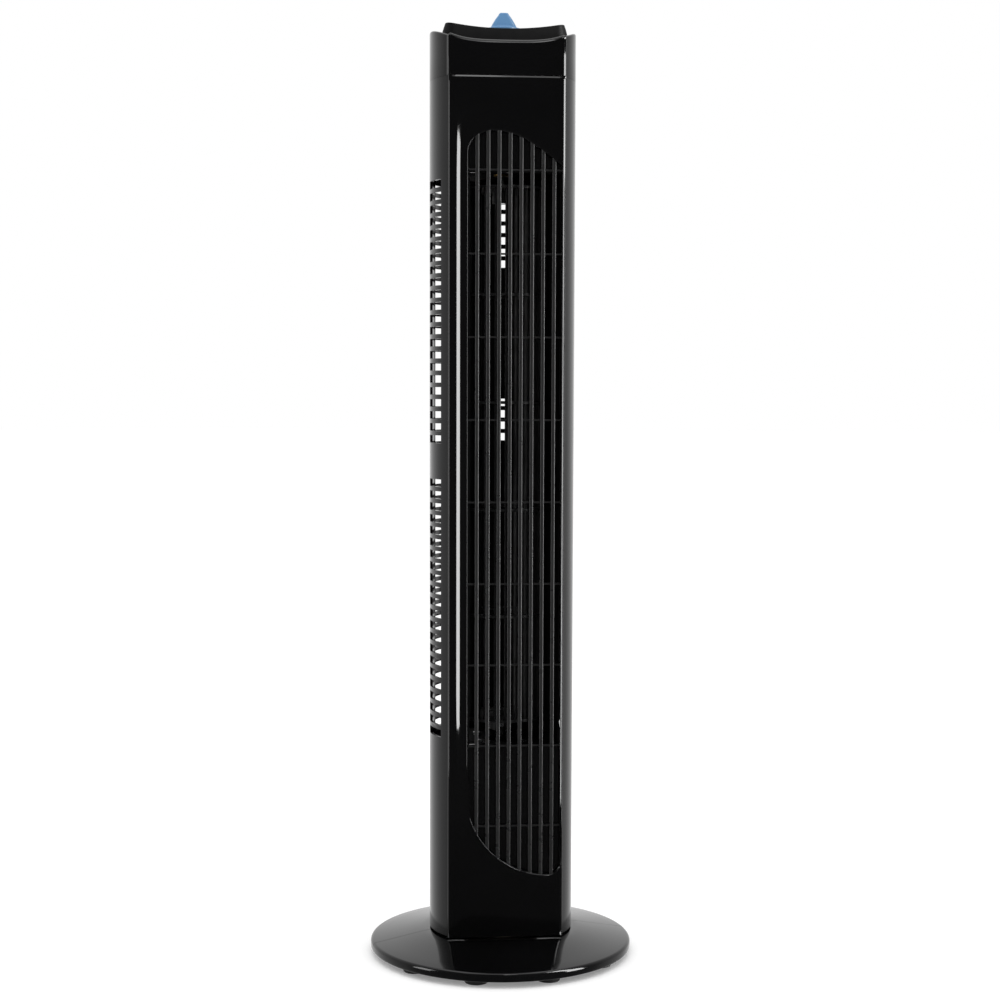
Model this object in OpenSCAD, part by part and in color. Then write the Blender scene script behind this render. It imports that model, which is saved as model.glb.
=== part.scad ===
// Oscillating tower fan: a tall round tower with a flat front panel on a low round foot.
// A cross-flow impeller stands in the tower and blows through the front grille.
// A small gear motor in the tower walks round a fixed gear on the foot, which swings the tower.
// Millimetres, +Z up, front towards -Y, origin on the floor under the centre of the foot.

/* [Foot] */
// Outer radius of the round foot
foot_r = 110; // [105:1:115]
// Height of the flat middle of the foot above the floor
foot_top = 20.8; // [20:0.2:21.4]
// Height of the upper edge of the foot's rim above the floor
foot_rim_top = 12; // [11:0.5:13]
// Height of the lower edge of the foot's rim above the floor
foot_rim_bottom = 5; // [4:0.5:6]
// Number of rubber pads under the foot
pad_count = 10; // [8:1:10]
// Direction of the joint between the foot's two halves, degrees from +X
foot_seam_angle = 8.5; // [8:0.1:9]

/* [Tower] */
// Radius of the tower's round body
tower_r = 60; // [59:0.5:61]
// Wall thickness of the tower's shells
wall = 2.2; // [2:0.1:2.4]
// Height of the tower's lower edge above the floor
tower_bottom = 22.5; // [22.5:0.1:23]
// Height of the joint between the body and the top cap
cap_seam = 725.5; // [720:0.5:730]
// Distance of the flat front face in front of the tower's axis
face_y = 43; // [42.5:0.5:43.5]
// Half of the front panel's width
face_half_w = 47.6; // [47:0.1:48]
// Y position of the joint between the front and rear housings
housing_seam_y = 8; // [7:0.5:9]

/* [Top] */
// Height of the cap's rim in the middle of its dip
cap_dip = 754; // [752:0.2:756]
// Height of the cap's sides above the middle of its dip
cap_rise = 13.8; // [12:0.1:15]
// Height of the control panel in the middle of its dip
panel_dip = 765.1; // [764.5:0.1:766]
// Radius of the dip across the control panel
panel_dip_r = 185; // [180:1:190]
// Overall height of the fan, to the top of the knob
knob_top = 780.4; // [779:0.2:782]

/* [Vents] */
// Height of one vent slot
slot_h = 6.2; // [5:0.1:6.6]
// Distance from one vent slot to the next
slot_pitch = 9.86; // [9.8:0.01:9.9]
// Number of vent slots in each of the two groups
slot_count = 22; // [10:1:22]

/* [Grille] */
// Number of upright bars in the outlet grille
bar_count = 8; // [6:1:8]
// Distance from one upright bar to the next
bar_pitch = 8.9; // [8.6:0.1:9]
// Width of one upright bar
bar_w = 3.3; // [2.5:0.1:3.5]
// Distance from one cross rib to the next
rib_pitch = 67; // [60:1:67]
// Number of cross ribs behind the bars
rib_count = 9; // [6:1:9]

/* [Impeller] */
// Outer radius of the cross-flow impeller
impeller_r = 36; // [35:0.5:36]
// Number of impeller blades
blade_count = 24; // [18:1:28]
// Number of stacked impeller stages
stage_count = 5; // [3:1:6]

/* [Swing gears] */
// Gear module of the swing gears
gear_module = 1; // [1:0.5:1]
// Teeth of the gear fixed to the foot
fixed_teeth = 48; // [48:16:48]
// Teeth of the pinion on the swing motor
pinion_teeth = 16; // [16:1:16]
// Backlash between the swing gears
backlash = 0.2; // [0.1:0.05:0.3]

/* [Hidden] */
$fn = 96;
eps = 0.01;

// Levels along the tower
plate_t = 3;
tower_floor = tower_bottom + plate_t;
motor_deck = 178;
duct_bottom = motor_deck + plate_t;
top_deck = 651;
impeller_bottom = 200;
impeller_top = 640;
stage_h = (impeller_top - impeller_bottom) / stage_count;

// Front of the tower, from the outside in
seat_y = sqrt(tower_r * tower_r - face_half_w * face_half_w) - 0.1;
front_wall_y = seat_y - wall;
face_t = 3;
face_return = 1.6;
recess_depth = 1;
bar_front_y = face_y - 1.4;
flange_front_y = face_y - face_t;
flange_back_y = flange_front_y - 1.5;
rib_back_y = flange_back_y - 1.8;
grille_lip = 3;
first_bar_x = -23.9;
duct_left = -29.5;
duct_right = 44.5;

// Corners of the grille opening and of the shallow recess around it
opening = [-31, 45.2, 664, [-10, 682], 654, 86, [35, 74.2], 137];
recess = [-40, 49, 686, [-19, 704.6], 670, 47, [36, 47], 125];

// Vent slots: lowest slot of each group and the angles of the slotted stretches,
// counted round the back of the tower from the -X side
slot_group_z = [188, 431];
front_slot_angles = [-29, -3];
rear_slot_angles = [[20.5, 53], [57, 88], [92, 123], [127, 159.5]];

// Impeller and its motor stand on one axis, a little behind the tower's
axis_y = 3;
shaft_r = 4;
pin_r = 3;
run_gap = 0.04;
blade_inner_r = 28.5;
stator_z = 128;
stator_h = 24;
stator_r = 34;
rotor_r = 20;
motor_gap = 0.35;
bolt_ring_r = 29.3;
deck_bolt_ring_r = 26;
bracket_h = 20;
bracket_t = 3;
collar_h = 7.7;

// Scroll: an arc off the impeller's axis, so that the air path widens towards the outlet
scroll_offset = 7.64;
scroll_r = 44.4;
scroll_t = 1.6;
scroll_c = [scroll_offset * cos(40), axis_y - scroll_offset * sin(40)];
scroll_from = -10;
scroll_to = 118;
// Bleed windows through the scroll's rear, each [lowest z, highest z]
scroll_window_x = [1.5, 9];
scroll_windows = [[429, 467], [577, 642]];

// Swing drive
fixed_r = gear_module * fixed_teeth / 2;
pinion_r = gear_module * pinion_teeth / 2;
pinion_y = fixed_r + pinion_r;
gear_z = tower_bottom + 5;
gear_h = 6;
journal_r = 20;
journal_gap = 0.05;
neck_bore_r = 10;
swing_motor_r = 24.3;
swing_motor_z = 38;
swing_motor_h = 20;
swing_shaft_r = 3.5;
swing_ear_x = 30;

// Foot
foot_cone_r = 62;
foot_rim_r = foot_r - 3;
foot_t = 2.5;
pad_ring_r = 94.5;
pad_r = 9.5;
first_pad_angle = 1;
neck_flange_r = 36;
neck_screw_ring_r = 29;
gland_r = 3.8;
gland_z = 5;

// Controls
insert_r = 51;
insert_front_y = 28;
insert_corner = 9;
insert_t = 2.5;
cap_hole_r = 39;
cap_screw_x = 44;
knob_r = 17;
knob_gap = 0.6;
spindle_r = 3;
button_x = 30;
button_r = 6.5;
button_gap = 0.4;
button_face_z = panel_dip + panel_dip_r - sqrt(panel_dip_r * panel_dip_r - button_x * button_x);

// Screws that join the two housings: height and side
housing_screw_z = [[50, -1], [50, 1], [160, -1], [160, 1], [415.5, -1], [690, -1], [690, 1]];
housing_screw_x = 46;
// Posts under the two decks
deck_post_angles = [36, 144];
deck_post_ring_r = 52;
post_z = [tower_floor, motor_deck - 12, top_deck + plate_t];
front_post = [40, -30.6];
harness_angle = 70;
harness_ring_r = 53.2;
harness_r = 2.2;

black = "#0d0d0e";
satin_black = "#1b1b1d";
steel = "#b9bcc0";
ivory = "#e6e1d3";
copper = "#b8662b";
rubber = "#202021";
knob_blue = "#4b82b9";

// ---- helpers ----

function polar(r, a) = [r * cos(a), r * sin(a)];

// Point of a cubic curve through a and d
function cubic(a, b, c, d, t) =
    let (u = 1 - t) u * u * u * a + 3 * u * u * t * b + 3 * u * t * t * c + t * t * t * d;
function curve(a, b, c, d, n = 12) = [for (i = [0 : n - 1]) cubic(a, b, c, d, i / n)];

// Outline of the grille opening or its recess in X and Z, grown by m all round:
// [left, right, top left z, peak, top right z, bottom right z, lowest point, bottom left z]
function wave(w, m = 0) =
    let (l = w[0] - m, r = w[1] + m, top = w[3][1] + m, low = w[6][1] - m,
         px = w[3][0], lx = w[6][0], tr = w[4] + m, br = w[5] - m)
    concat(
        curve([l, w[2]], [l, w[2] + 0.6 * (top - w[2])], [px - 0.5 * (px - l), top], [px, top]),
        curve([px, top], [px + 20, top], [r - 17, tr + 14], [r, tr]),
        curve([r, br], [r, low + 0.3 * (br - low)], [lx + 0.6 * (r - lx), low], [lx, low]),
        curve([lx, low], [lx - 30, low], [l + 3, w[7] - 39], [l, w[7]]),
        [[l, w[7]]]);

// Extrudes an X-Z outline towards the back, from front_y to back_y in front of the axis
module upright(front_y, back_y) {
    translate([0, -back_y, 0]) rotate([90, 0, 0]) linear_extrude(front_y - back_y) children();
}

module tube(r_out, r_in, h) {
    difference() {
        cylinder(r = r_out, h = h);
        translate([0, 0, -1]) cylinder(r = r_in, h = h + 2);
    }
}

// Pan head screw along -Z, its head's underside at the origin
module screw(r = 1.5, length = 10, head_r = 2.8, head_h = 2) {
    translate([0, 0, -length]) cylinder(r = r, h = length + eps);
    difference() {
        cylinder(r = head_r, h = head_h);
        for (a = [0, 90])
            rotate(a) translate([-head_r * 0.7, -0.35, head_h - 0.8]) cube([head_r * 1.4, 0.7, 1]);
    }
}

module at_axis() { translate([0, axis_y, 0]) children(); }

module ring_of(r, count, first = 0) {
    for (i = [0 : count - 1]) rotate(first + i * 360 / count) translate([r, 0, 0]) children();
}

module half_plane(y_from, y_to, x = 150) {
    translate([-x, y_from]) square([2 * x, y_to - y_from]);
}

// Plan of the tower: the round body with the flat front panel's block ahead of it
module tower_plan(inset = 0) {
    intersection() {
        circle(r = tower_r - inset);
        half_plane(-seat_y, 100);
    }
    translate([-(face_half_w - inset), -(face_y - inset)]) square([2 * (face_half_w - inset), face_y - inset]);
}

// Plan of the room inside both housings
module inner_plan(gap = 0.3) {
    intersection() {
        circle(r = tower_r - wall - gap);
        half_plane(-(front_wall_y - gap), 100);
    }
}

// Wedge of the plan between two angles counted round the back from -X
module wedge(a, b, r = 75) {
    mid = (a + b) / 2;
    polygon([[0, 0], polar(r, 180 - a), polar(r * 1.1, 180 - mid), polar(r, 180 - b)]);
}

// Involute gear outline with its teeth on multiples of the tooth angle
function involute_angle(base, r) = let (q = sqrt(max(0, (r / base) * (r / base) - 1))) q * 180 / PI - atan(q);
function flank(teeth, steps = 5) =
    let (pitch = gear_module * teeth / 2, base = pitch * cos(20), root = pitch - 1.25 * gear_module,
         tip = pitch + gear_module, first = max(base, root),
         half = 90 / teeth - backlash / pitch * 90 / PI + involute_angle(base, pitch))
    concat([[root, half - involute_angle(base, first) + 0.15 * 90 / teeth]],
        [for (i = [0 : steps]) let (r = first + (tip - first) * i / steps) [r, half - involute_angle(base, r)]]);
function gear_points(teeth) =
    let (side = flank(teeth), last = len(side) - 1)
    [for (i = [0 : teeth - 1]) let (mid = i * 360 / teeth)
        each concat([for (p = side) polar(p[0], mid - p[1])],
            [for (k = [0 : last]) polar(side[last - k][0], mid + side[last - k][1])])];

module gear_plan(teeth) { polygon(gear_points(teeth)); }

// ---- foot ----

module foot_section(drop = 0, inset = 0) {
    rotate_extrude() polygon([
        [0, foot_rim_bottom - drop], [foot_r - inset, foot_rim_bottom - drop],
        [foot_r - inset, foot_rim_top - drop - 1.2], [foot_r - inset - 1.2, foot_rim_top - drop],
        [foot_rim_r - inset, foot_rim_top - drop + 0.4], [foot_cone_r, foot_top - drop], [0, foot_top - drop]]);
}

// Whole foot before it is split: a shell with bosses for the pads and ribs under it
module foot_shell() {
    difference() {
        union() {
            difference() {
                foot_section();
                foot_section(foot_t, foot_t);
            }
            intersection() {
                foot_section();
                union() {
                    ring_of(pad_ring_r, pad_count, first_pad_angle)
                        translate([0, 0, foot_rim_bottom]) cylinder(r = pad_r + 1, h = 12);
                    ring_of(neck_flange_r + 4, pad_count, first_pad_angle + 18)
                        translate([0, -1, foot_rim_bottom + 4]) cube([foot_rim_r - neck_flange_r - 8, 2, 20]);
                    translate([0, 0, foot_rim_bottom + 4]) tube(neck_flange_r + 3, neck_flange_r + 1, 20);
                }
            }
        }
        translate([0, 0, -1]) cylinder(r = journal_r + 0.2, h = 40);
        ring_of(neck_screw_ring_r, 4, 45) cylinder(r = 1.5, h = foot_top - 1);
        translate([0, foot_r + 2, gland_z]) rotate([90, 0, 0]) cylinder(r = gland_r + 0.1, h = 14);
        translate([-gland_r - 0.1, foot_r - 12, -1]) cube([2 * gland_r + 0.2, 14, gland_z + 1]);
    }
}

module foot_half(from_y, to_y) {
    intersection() {
        foot_shell();
        rotate(foot_seam_angle) linear_extrude(40) half_plane(from_y, to_y);
    }
}

module foot_front_half() { color(black) foot_half(-150, -0.05); }

module foot_rear_half() { color(black) foot_half(0.05, 150); }

module rubber_feet() {
    color(rubber) ring_of(pad_ring_r, pad_count, first_pad_angle) rotate_extrude() polygon([
        [0, 0], [pad_r - 1, 0], [pad_r, 1], [pad_r, foot_rim_bottom], [0, foot_rim_bottom]]);
}

// Hollow pivot that the tower turns on; its flange is screwed up under the foot
module pivot_neck() {
    flange_top = foot_top - foot_t;
    color(satin_black) difference() {
        union() {
            translate([0, 0, flange_top - 3]) cylinder(r = neck_flange_r, h = 3);
            translate([0, 0, flange_top - 3]) cylinder(r = journal_r, h = gear_z - flange_top + 3);
        }
        translate([0, 0, -1]) cylinder(r = neck_bore_r, h = 60);
        ring_of(neck_screw_ring_r, 4, 45) cylinder(r = 1.6, h = 40);
        ring_of(15, 3, 30) translate([0, 0, gear_z - 8]) cylinder(r = 1.5, h = 20);
    }
}

module neck_screws() {
    color(steel) ring_of(neck_screw_ring_r, 4, 45)
        translate([0, 0, foot_top - foot_t - 3]) mirror([0, 0, 1]) screw(1.5, 4.4, 2.8, 1.8);
}

module thrust_washer() {
    color(ivory) translate([0, 0, foot_top]) tube(31, journal_r + 0.6, tower_bottom - foot_top);
}

module fixed_swing_gear() {
    color(ivory) translate([0, 0, gear_z]) difference() {
        linear_extrude(gear_h) gear_plan(fixed_teeth);
        translate([0, 0, -1]) cylinder(r = neck_bore_r, h = 20);
        ring_of(15, 3, 30) translate([0, 0, -1]) cylinder(r = 1.6, h = 20);
    }
}

module gear_screws() {
    color(steel) ring_of(15, 3, 30) translate([0, 0, gear_z + gear_h]) screw(1.5, 13, 2.8, 1.6);
}

// Round inlet for the supply lead in the foot's rear edge
module cord_gland() {
    color(rubber) translate([0, foot_r - 0.6, gland_z]) rotate([90, 0, 0]) difference() {
        union() {
            cylinder(r = gland_r, h = 9);
            translate([0, 0, 3.4]) cylinder(r = gland_r + 0.6, h = 2);
        }
        translate([0, 0, -1]) cylinder(r = 3, h = 20);
    }
}

// ---- tower shell ----

module bottom_plate() {
    color(satin_black) difference() {
        union() {
            translate([0, 0, tower_bottom]) linear_extrude(plate_t) inner_plan();
            translate([0, 0, tower_bottom]) cylinder(r = journal_r + 4, h = gear_z - tower_bottom - 0.3);
            for (s = [-1, 1]) translate([s * swing_ear_x, pinion_y, tower_bottom])
                cylinder(r = 4, h = swing_motor_z - tower_bottom);
        }
        translate([0, 0, tower_bottom - 1]) cylinder(r = journal_r + journal_gap, h = 20);
        for (s = [-1, 1]) translate([s * swing_ear_x, pinion_y, swing_motor_z - 9]) cylinder(r = 1.3, h = 20);
        for (p = bottom_screw_places()) translate([p[0], p[1], tower_bottom - 1]) {
            cylinder(r = 1.6, h = 10);
            cylinder(r = 2.7, h = 2.2);
        }
    }
}

function bottom_screw_places() = [
    for (a = deck_post_angles) polar(deck_post_ring_r, a),
    front_post, [-front_post[0], front_post[1]]];

module bottom_plate_screws() {
    color(steel) for (p = bottom_screw_places())
        translate([p[0], p[1], tower_bottom + 1.2]) mirror([0, 0, 1]) screw(1.4, 11, 2.6, 1.2);
}

// Hollow screw post, standing on the given level
module post(p, z, h, r = 4.2, hole = 1.4) {
    translate([p[0], p[1], z]) tube(r, hole, h);
}

// Bosses along Y for the screws between the housings, from y_from to y_to, each tied to the shell by a rib
module housing_bosses(y_from, y_to, hole) {
    for (b = housing_screw_z) {
        x = b[1] * housing_screw_x;
        difference() {
            union() {
                translate([x, y_to, b[0]]) rotate([90, 0, 0]) cylinder(r = 4.5, h = y_to - y_from);
                translate([b[1] > 0 ? x : x - 12, y_from, b[0] - 1]) cube([12, y_to - y_from, 2]);
            }
            translate([x, y_to + 50, b[0]]) rotate([90, 0, 0]) cylinder(r = hole, h = 150);
        }
    }
}

module vent_slots(stretches) {
    for (z0 = slot_group_z, i = [0 : slot_count - 1])
        translate([0, 0, z0 + i * slot_pitch]) linear_extrude(slot_h)
            for (s = stretches) difference() {
                wedge(s[0], s[1]);
                circle(r = tower_r - 2 * wall);
            }
}

// Front shell: both sides of the tower and the inner front wall with the outlet window
module front_housing() {
    height = cap_seam - tower_bottom;
    color(black) difference() {
        union() {
            translate([0, 0, tower_bottom]) linear_extrude(height) difference() {
                intersection() {
                    circle(r = tower_r);
                    half_plane(-seat_y, housing_seam_y);
                }
                intersection() {
                    circle(r = tower_r - wall);
                    half_plane(-front_wall_y, housing_seam_y + 10);
                }
            }
            intersection() {
                housing_bosses(-4, housing_seam_y, 1.5);
                translate([0, 0, tower_bottom]) cylinder(r = tower_r - 1, h = height);
            }
            intersection() {
                for (s = [-1, 1], z = post_z)
                    post([s * front_post[0], front_post[1]], z, 12);
                translate([0, 0, tower_bottom]) cylinder(r = tower_r - 1, h = height);
            }
        }
        translate([duct_left, -seat_y - 1, duct_bottom + 2])
            cube([duct_right - duct_left, wall + 2, top_deck - duct_bottom - 4]);
        intersection() {
            vent_slots([front_slot_angles]);
            linear_extrude(cap_seam) half_plane(-seat_y, housing_seam_y - 2);
        }
    }
}

// Rear shell with the intake slots, its screw bosses and the posts for the decks
module rear_housing() {
    height = cap_seam - tower_bottom;
    color(black) difference() {
        union() {
            translate([0, 0, tower_bottom]) linear_extrude(height) difference() {
                intersection() {
                    circle(r = tower_r);
                    half_plane(housing_seam_y, 100);
                }
                circle(r = tower_r - wall);
            }
            intersection() {
                housing_bosses(housing_seam_y, 40, 1.6);
                translate([0, 0, tower_bottom]) cylinder(r = tower_r - 1, h = height);
            }
            intersection() {
                for (a = deck_post_angles, z = post_z)
                    post(polar(deck_post_ring_r, a), z, 12, 6);
                translate([0, 0, tower_bottom]) cylinder(r = tower_r - 1, h = height);
            }
        }
        vent_slots(rear_slot_angles);
        for (b = housing_screw_z) translate([b[1] * housing_screw_x, 70, b[0]])
            rotate([90, 0, 0]) cylinder(r = 3.2, h = 70 - housing_seam_y - 6);
    }
}

module housing_screws() {
    color(steel) for (b = housing_screw_z)
        translate([b[1] * housing_screw_x, housing_seam_y + 6, b[0]]) rotate([-90, 0, 0]) screw(1.5, 16, 2.8, 2);
}

// Glossy front panel: a shallow tray with the grille opening and the dished field around it
module front_panel() {
    color(black) difference() {
        translate([-face_half_w, -face_y, tower_bottom])
            cube([2 * face_half_w, face_y - seat_y, cap_seam - tower_bottom]);
        translate([-face_half_w + face_return, -face_y + face_t, tower_bottom + face_return])
            cube([2 * (face_half_w - face_return), face_y, cap_seam - tower_bottom - 2 * face_return]);
        upright(face_y + 1, face_y - recess_depth) polygon(wave(recess));
        upright(face_y + 1, 0) polygon(wave(opening));
    }
}

// Outlet grille: a flange clipped behind the panel, upright bars and cross ribs behind them
module outlet_grille() {
    color(satin_black) {
        difference() {
            upright(flange_front_y, flange_back_y) grille_field();
            upright(flange_front_y + 1, flange_back_y - 1) polygon(wave(opening));
        }
        upright(bar_front_y, flange_front_y - eps) intersection() {
            polygon(wave(opening));
            grille_bars();
        }
        upright(flange_front_y, flange_back_y) intersection() {
            grille_field();
            grille_bars();
        }
        upright(flange_back_y + eps, rib_back_y) intersection() {
            grille_field();
            for (i = [0 : rib_count - 1]) translate([-60, top_deck - i * rib_pitch - 0.8]) square([120, 1.6]);
        }
    }
}

module grille_field() {
    intersection() {
        polygon(wave(opening, grille_lip));
        square([2 * (face_half_w - face_return) - 0.4, 2000], center = true);
    }
}

module grille_bars() {
    for (i = [0 : bar_count - 1])
        translate([first_bar_x + i * bar_pitch - bar_w / 2, 0]) square([bar_w, 800]);
}

// ---- air path ----

module deck(z, holes_r, hole_ring_r) {
    difference() {
        translate([0, 0, z]) linear_extrude(plate_t) inner_plan();
        for (p = bottom_screw_places()) translate([p[0], p[1], z - 1]) cylinder(r = 1.6, h = 10);
        rotate(harness_angle) translate([harness_ring_r, 0, z - 1]) cylinder(r = harness_r + 0.3, h = 10);
        at_axis() translate([0, 0, z - 1]) {
            cylinder(r = holes_r, h = 10);
            if (hole_ring_r > 0) ring_of(hole_ring_r, 4, 45) cylinder(r = 2.2, h = 10);
        }
    }
}

module motor_deck_plate() { color(satin_black) deck(motor_deck, 13, deck_bolt_ring_r); }

// Upper deck with the seat for the impeller's top bearing
module top_deck_plate() {
    color(satin_black) {
        deck(top_deck, 12, 0);
        at_axis() translate([0, 0, top_deck]) difference() {
            cylinder(r = 15, h = 9);
            translate([0, 0, -1]) cylinder(r = 12, h = 12);
            ring_of(13.4, 2, 90) translate([0, 0, 3]) cylinder(r = 0.8, h = 10);
        }
    }
}

module deck_screws() {
    color(steel) for (p = bottom_screw_places()) {
        translate([p[0], p[1], duct_bottom]) screw(1.4, 10, 2.6, 1.8);
        translate([p[0], p[1], top_deck]) mirror([0, 0, 1]) screw(1.4, 10, 2.6, 1.8);
    }
}

// Points of an arc about the scroll's centre, from one angle to another
function scroll_arc(r, from, to, steps = 30) =
    [for (i = [0 : steps]) scroll_c + polar(r, from + (to - from) * i / steps)];

// Wall that leads the air round the impeller and out to the right edge of the window
module scroll_wall() {
    start = scroll_c + polar(scroll_r, scroll_from);
    out_dir = polar(1, scroll_from - 93);
    run = (start[1] + front_wall_y - 0.5) / -out_dir[1];
    finish = start + run * out_dir;
    color(satin_black) difference() {
        translate([0, 0, duct_bottom]) linear_extrude(top_deck - duct_bottom)
            polygon(concat(
                scroll_arc(scroll_r + scroll_t, scroll_to, scroll_from),
                [finish + [scroll_t, 0], finish],
                scroll_arc(scroll_r, scroll_from, scroll_to)));
        for (w = scroll_windows) translate([scroll_window_x[0], scroll_r - 10, w[0]])
            cube([scroll_window_x[1] - scroll_window_x[0], 20, w[1] - w[0]]);
    }
}

// Wall that parts the intake side from the outlet, with a rounded nose near the impeller
module tongue_wall() {
    nose = [0, axis_y] + polar(impeller_r + 3.6, 211);
    color(satin_black) translate([0, 0, duct_bottom]) linear_extrude(top_deck - duct_bottom) {
        polygon([[duct_left - 2, -front_wall_y + 0.2], [duct_left, -front_wall_y + 0.2], nose + [1.1, -0.6], nose + [-1.1, 0.6]]);
        translate(nose) circle(r = 1.3);
    }
}

// ---- fan motor ----

module motor_stator() {
    color("#5d6166") at_axis() translate([0, 0, stator_z]) difference() {
        cylinder(r = stator_r, h = stator_h);
        translate([0, 0, -1]) cylinder(r = rotor_r + motor_gap, h = stator_h + 2);
        ring_of(bolt_ring_r, 4) translate([0, 0, -1]) cylinder(r = 1.7, h = stator_h + 2);
    }
}

module winding_ring() {
    rotate_extrude() translate([21.8, 0]) difference() {
        square([5, 11]);
        translate([3.6, 9.6]) square([2, 2]);
    }
}

module stator_windings() {
    color(copper) at_axis() {
        translate([0, 0, stator_z + stator_h]) winding_ring();
        translate([0, 0, stator_z]) mirror([0, 0, 1]) winding_ring();
    }
}

// Cup-shaped end bracket, open side at z = 0 and its plate at the far end
module end_bracket() {
    difference() {
        union() {
            tube(stator_r, stator_r - 2.4, bracket_h);
            translate([0, 0, bracket_h - bracket_t]) cylinder(r = stator_r, h = bracket_t);
            translate([0, 0, bracket_h - 8]) cylinder(r = 11, h = 11);
        }
        translate([0, 0, bracket_h - 9]) cylinder(r = 7, h = 30);
        ring_of(bolt_ring_r, 4) cylinder(r = 1.7, h = 60);
        ring_of(deck_bolt_ring_r, 4, 45) cylinder(r = 1.6, h = 60);
        for (a = [22.5 : 45 : 337.5]) rotate(a) translate([stator_r, 0, bracket_h / 2 - 1]) cube([12, 9, 9], center = true);
    }
}

module motor_upper_bracket() { color("#8d9196") at_axis() translate([0, 0, stator_z + stator_h]) end_bracket(); }

module motor_lower_bracket() { color("#8d9196") at_axis() translate([0, 0, stator_z]) mirror([0, 0, 1]) end_bracket(); }

module bushing() { tube(7, shaft_r + run_gap, 11); }

module motor_upper_bushing() { color("#a9823f") at_axis() translate([0, 0, stator_z + stator_h + bracket_h - 8]) bushing(); }

module motor_lower_bushing() { color("#a9823f") at_axis() translate([0, 0, stator_z - bracket_h - 3]) bushing(); }

module motor_through_bolts() {
    color(steel) at_axis() ring_of(bolt_ring_r, 4) {
        translate([0, 0, stator_z - bracket_h]) mirror([0, 0, 1]) screw(1.6, stator_h + 2 * bracket_h, 2.8, 1.8);
        translate([0, 0, stator_z + stator_h + bracket_h]) cylinder(r = 3, h = 2.4, $fn = 6);
    }
}

module motor_grommets() {
    color(rubber) at_axis() ring_of(deck_bolt_ring_r, 4, 45)
        translate([0, 0, stator_z + stator_h + bracket_h]) tube(5, 2, motor_deck - stator_z - stator_h - bracket_h);
}

module motor_mount_screws() {
    color(steel) at_axis() ring_of(deck_bolt_ring_r, 4, 45) translate([0, 0, duct_bottom]) screw(1.6, 14, 3.4, 2.2);
}

module motor_shaft() {
    color(steel) at_axis() translate([0, 0, stator_z - bracket_h - 8]) cylinder(r = shaft_r, h = 104);
}

module rotor_core() {
    color("#8f9296") at_axis() difference() {
        union() {
            translate([0, 0, stator_z]) cylinder(r = rotor_r, h = stator_h);
            translate([0, 0, stator_z - 4]) cylinder(r = rotor_r - 3, h = stator_h + 8);
        }
        translate([0, 0, stator_z - 10]) cylinder(r = shaft_r, h = 60);
    }
}

// Spacer collars on the shaft between the rotor and the bushings
module shaft_collars() {
    color(ivory) at_axis() for (z = [stator_z - 4 - collar_h, stator_z + stator_h + 4])
        translate([0, 0, z]) tube(6, shaft_r, collar_h);
}

// ---- impeller ----

// Curved blade: a slice of a ring, standing near the impeller's edge
module blade_plan() {
    bend_r = 9;
    translate([blade_inner_r + 2.6, -bend_r + 1.2]) intersection() {
        difference() {
            circle(r = bend_r + 0.6);
            circle(r = bend_r - 0.6);
        }
        polygon([[0, 0], polar(2 * bend_r, 66), polar(2 * bend_r, 88), polar(2 * bend_r, 110)]);
    }
}

module impeller() {
    color(satin_black) at_axis() {
        translate([0, 0, impeller_bottom + 1]) linear_extrude(impeller_top - impeller_bottom - 2)
            for (i = [0 : blade_count - 1]) rotate(i * 360 / blade_count) blade_plan();
        for (i = [1 : stage_count - 1]) translate([0, 0, impeller_bottom + i * stage_h - 1])
            tube(impeller_r, blade_inner_r - 1.5, 2);
        translate([0, 0, impeller_bottom]) tube(impeller_r, 9, 2);
        translate([0, 0, impeller_top - 2]) tube(impeller_r, pin_r, 2);
        translate([0, 0, impeller_top - 12]) tube(8, pin_r, 11);
    }
}

// Rubber-bushed hub that grips the motor shaft
module impeller_hub() {
    color("#2b2b2d") at_axis() difference() {
        union() {
            translate([0, 0, impeller_bottom - 11]) cylinder(r = 9, h = 17);
            translate([0, 0, impeller_bottom + 2]) cylinder(r = 12, h = 3);
        }
        translate([0, 0, impeller_bottom - 12]) cylinder(r = shaft_r, h = 40);
        translate([0, 0, impeller_bottom - 6]) rotate([90, 0, 0]) cylinder(r = 2, h = 12);
    }
}

module hub_set_screw() {
    color(steel) at_axis() translate([0, -shaft_r, impeller_bottom - 6]) rotate([90, 0, 0]) difference() {
        cylinder(r = 2, h = 5.6);
        translate([0, 0, 4]) cylinder(r = 1.1, h = 3, $fn = 6);
    }
}

module impeller_pin() {
    color(steel) at_axis() translate([0, 0, impeller_top - 12]) cylinder(r = pin_r, h = 31);
}

module top_bearing_rubber() {
    color(rubber) at_axis() translate([0, 0, top_deck + 0.5]) tube(12, 7, 7);
}

module top_bearing_bush() {
    color("#a9823f") at_axis() translate([0, 0, top_deck - 1]) tube(7, pin_r + run_gap, 10);
}

// Steel ring over the top bearing
module bearing_cap() {
    color(steel) at_axis() translate([0, 0, top_deck + 9]) {
        difference() {
            cylinder(r = 15, h = 1);
            translate([0, 0, -1]) cylinder(r = 6, h = 4);
            ring_of(13.4, 2, 90) translate([0, 0, -1]) cylinder(r = 0.9, h = 4);
        }
    }
}

module bearing_cap_screws() {
    color(steel) at_axis() ring_of(13.4, 2, 90) translate([0, 0, top_deck + 10]) screw(0.8, 5, 1.4, 0.9);
}

// ---- swing drive ----

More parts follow.
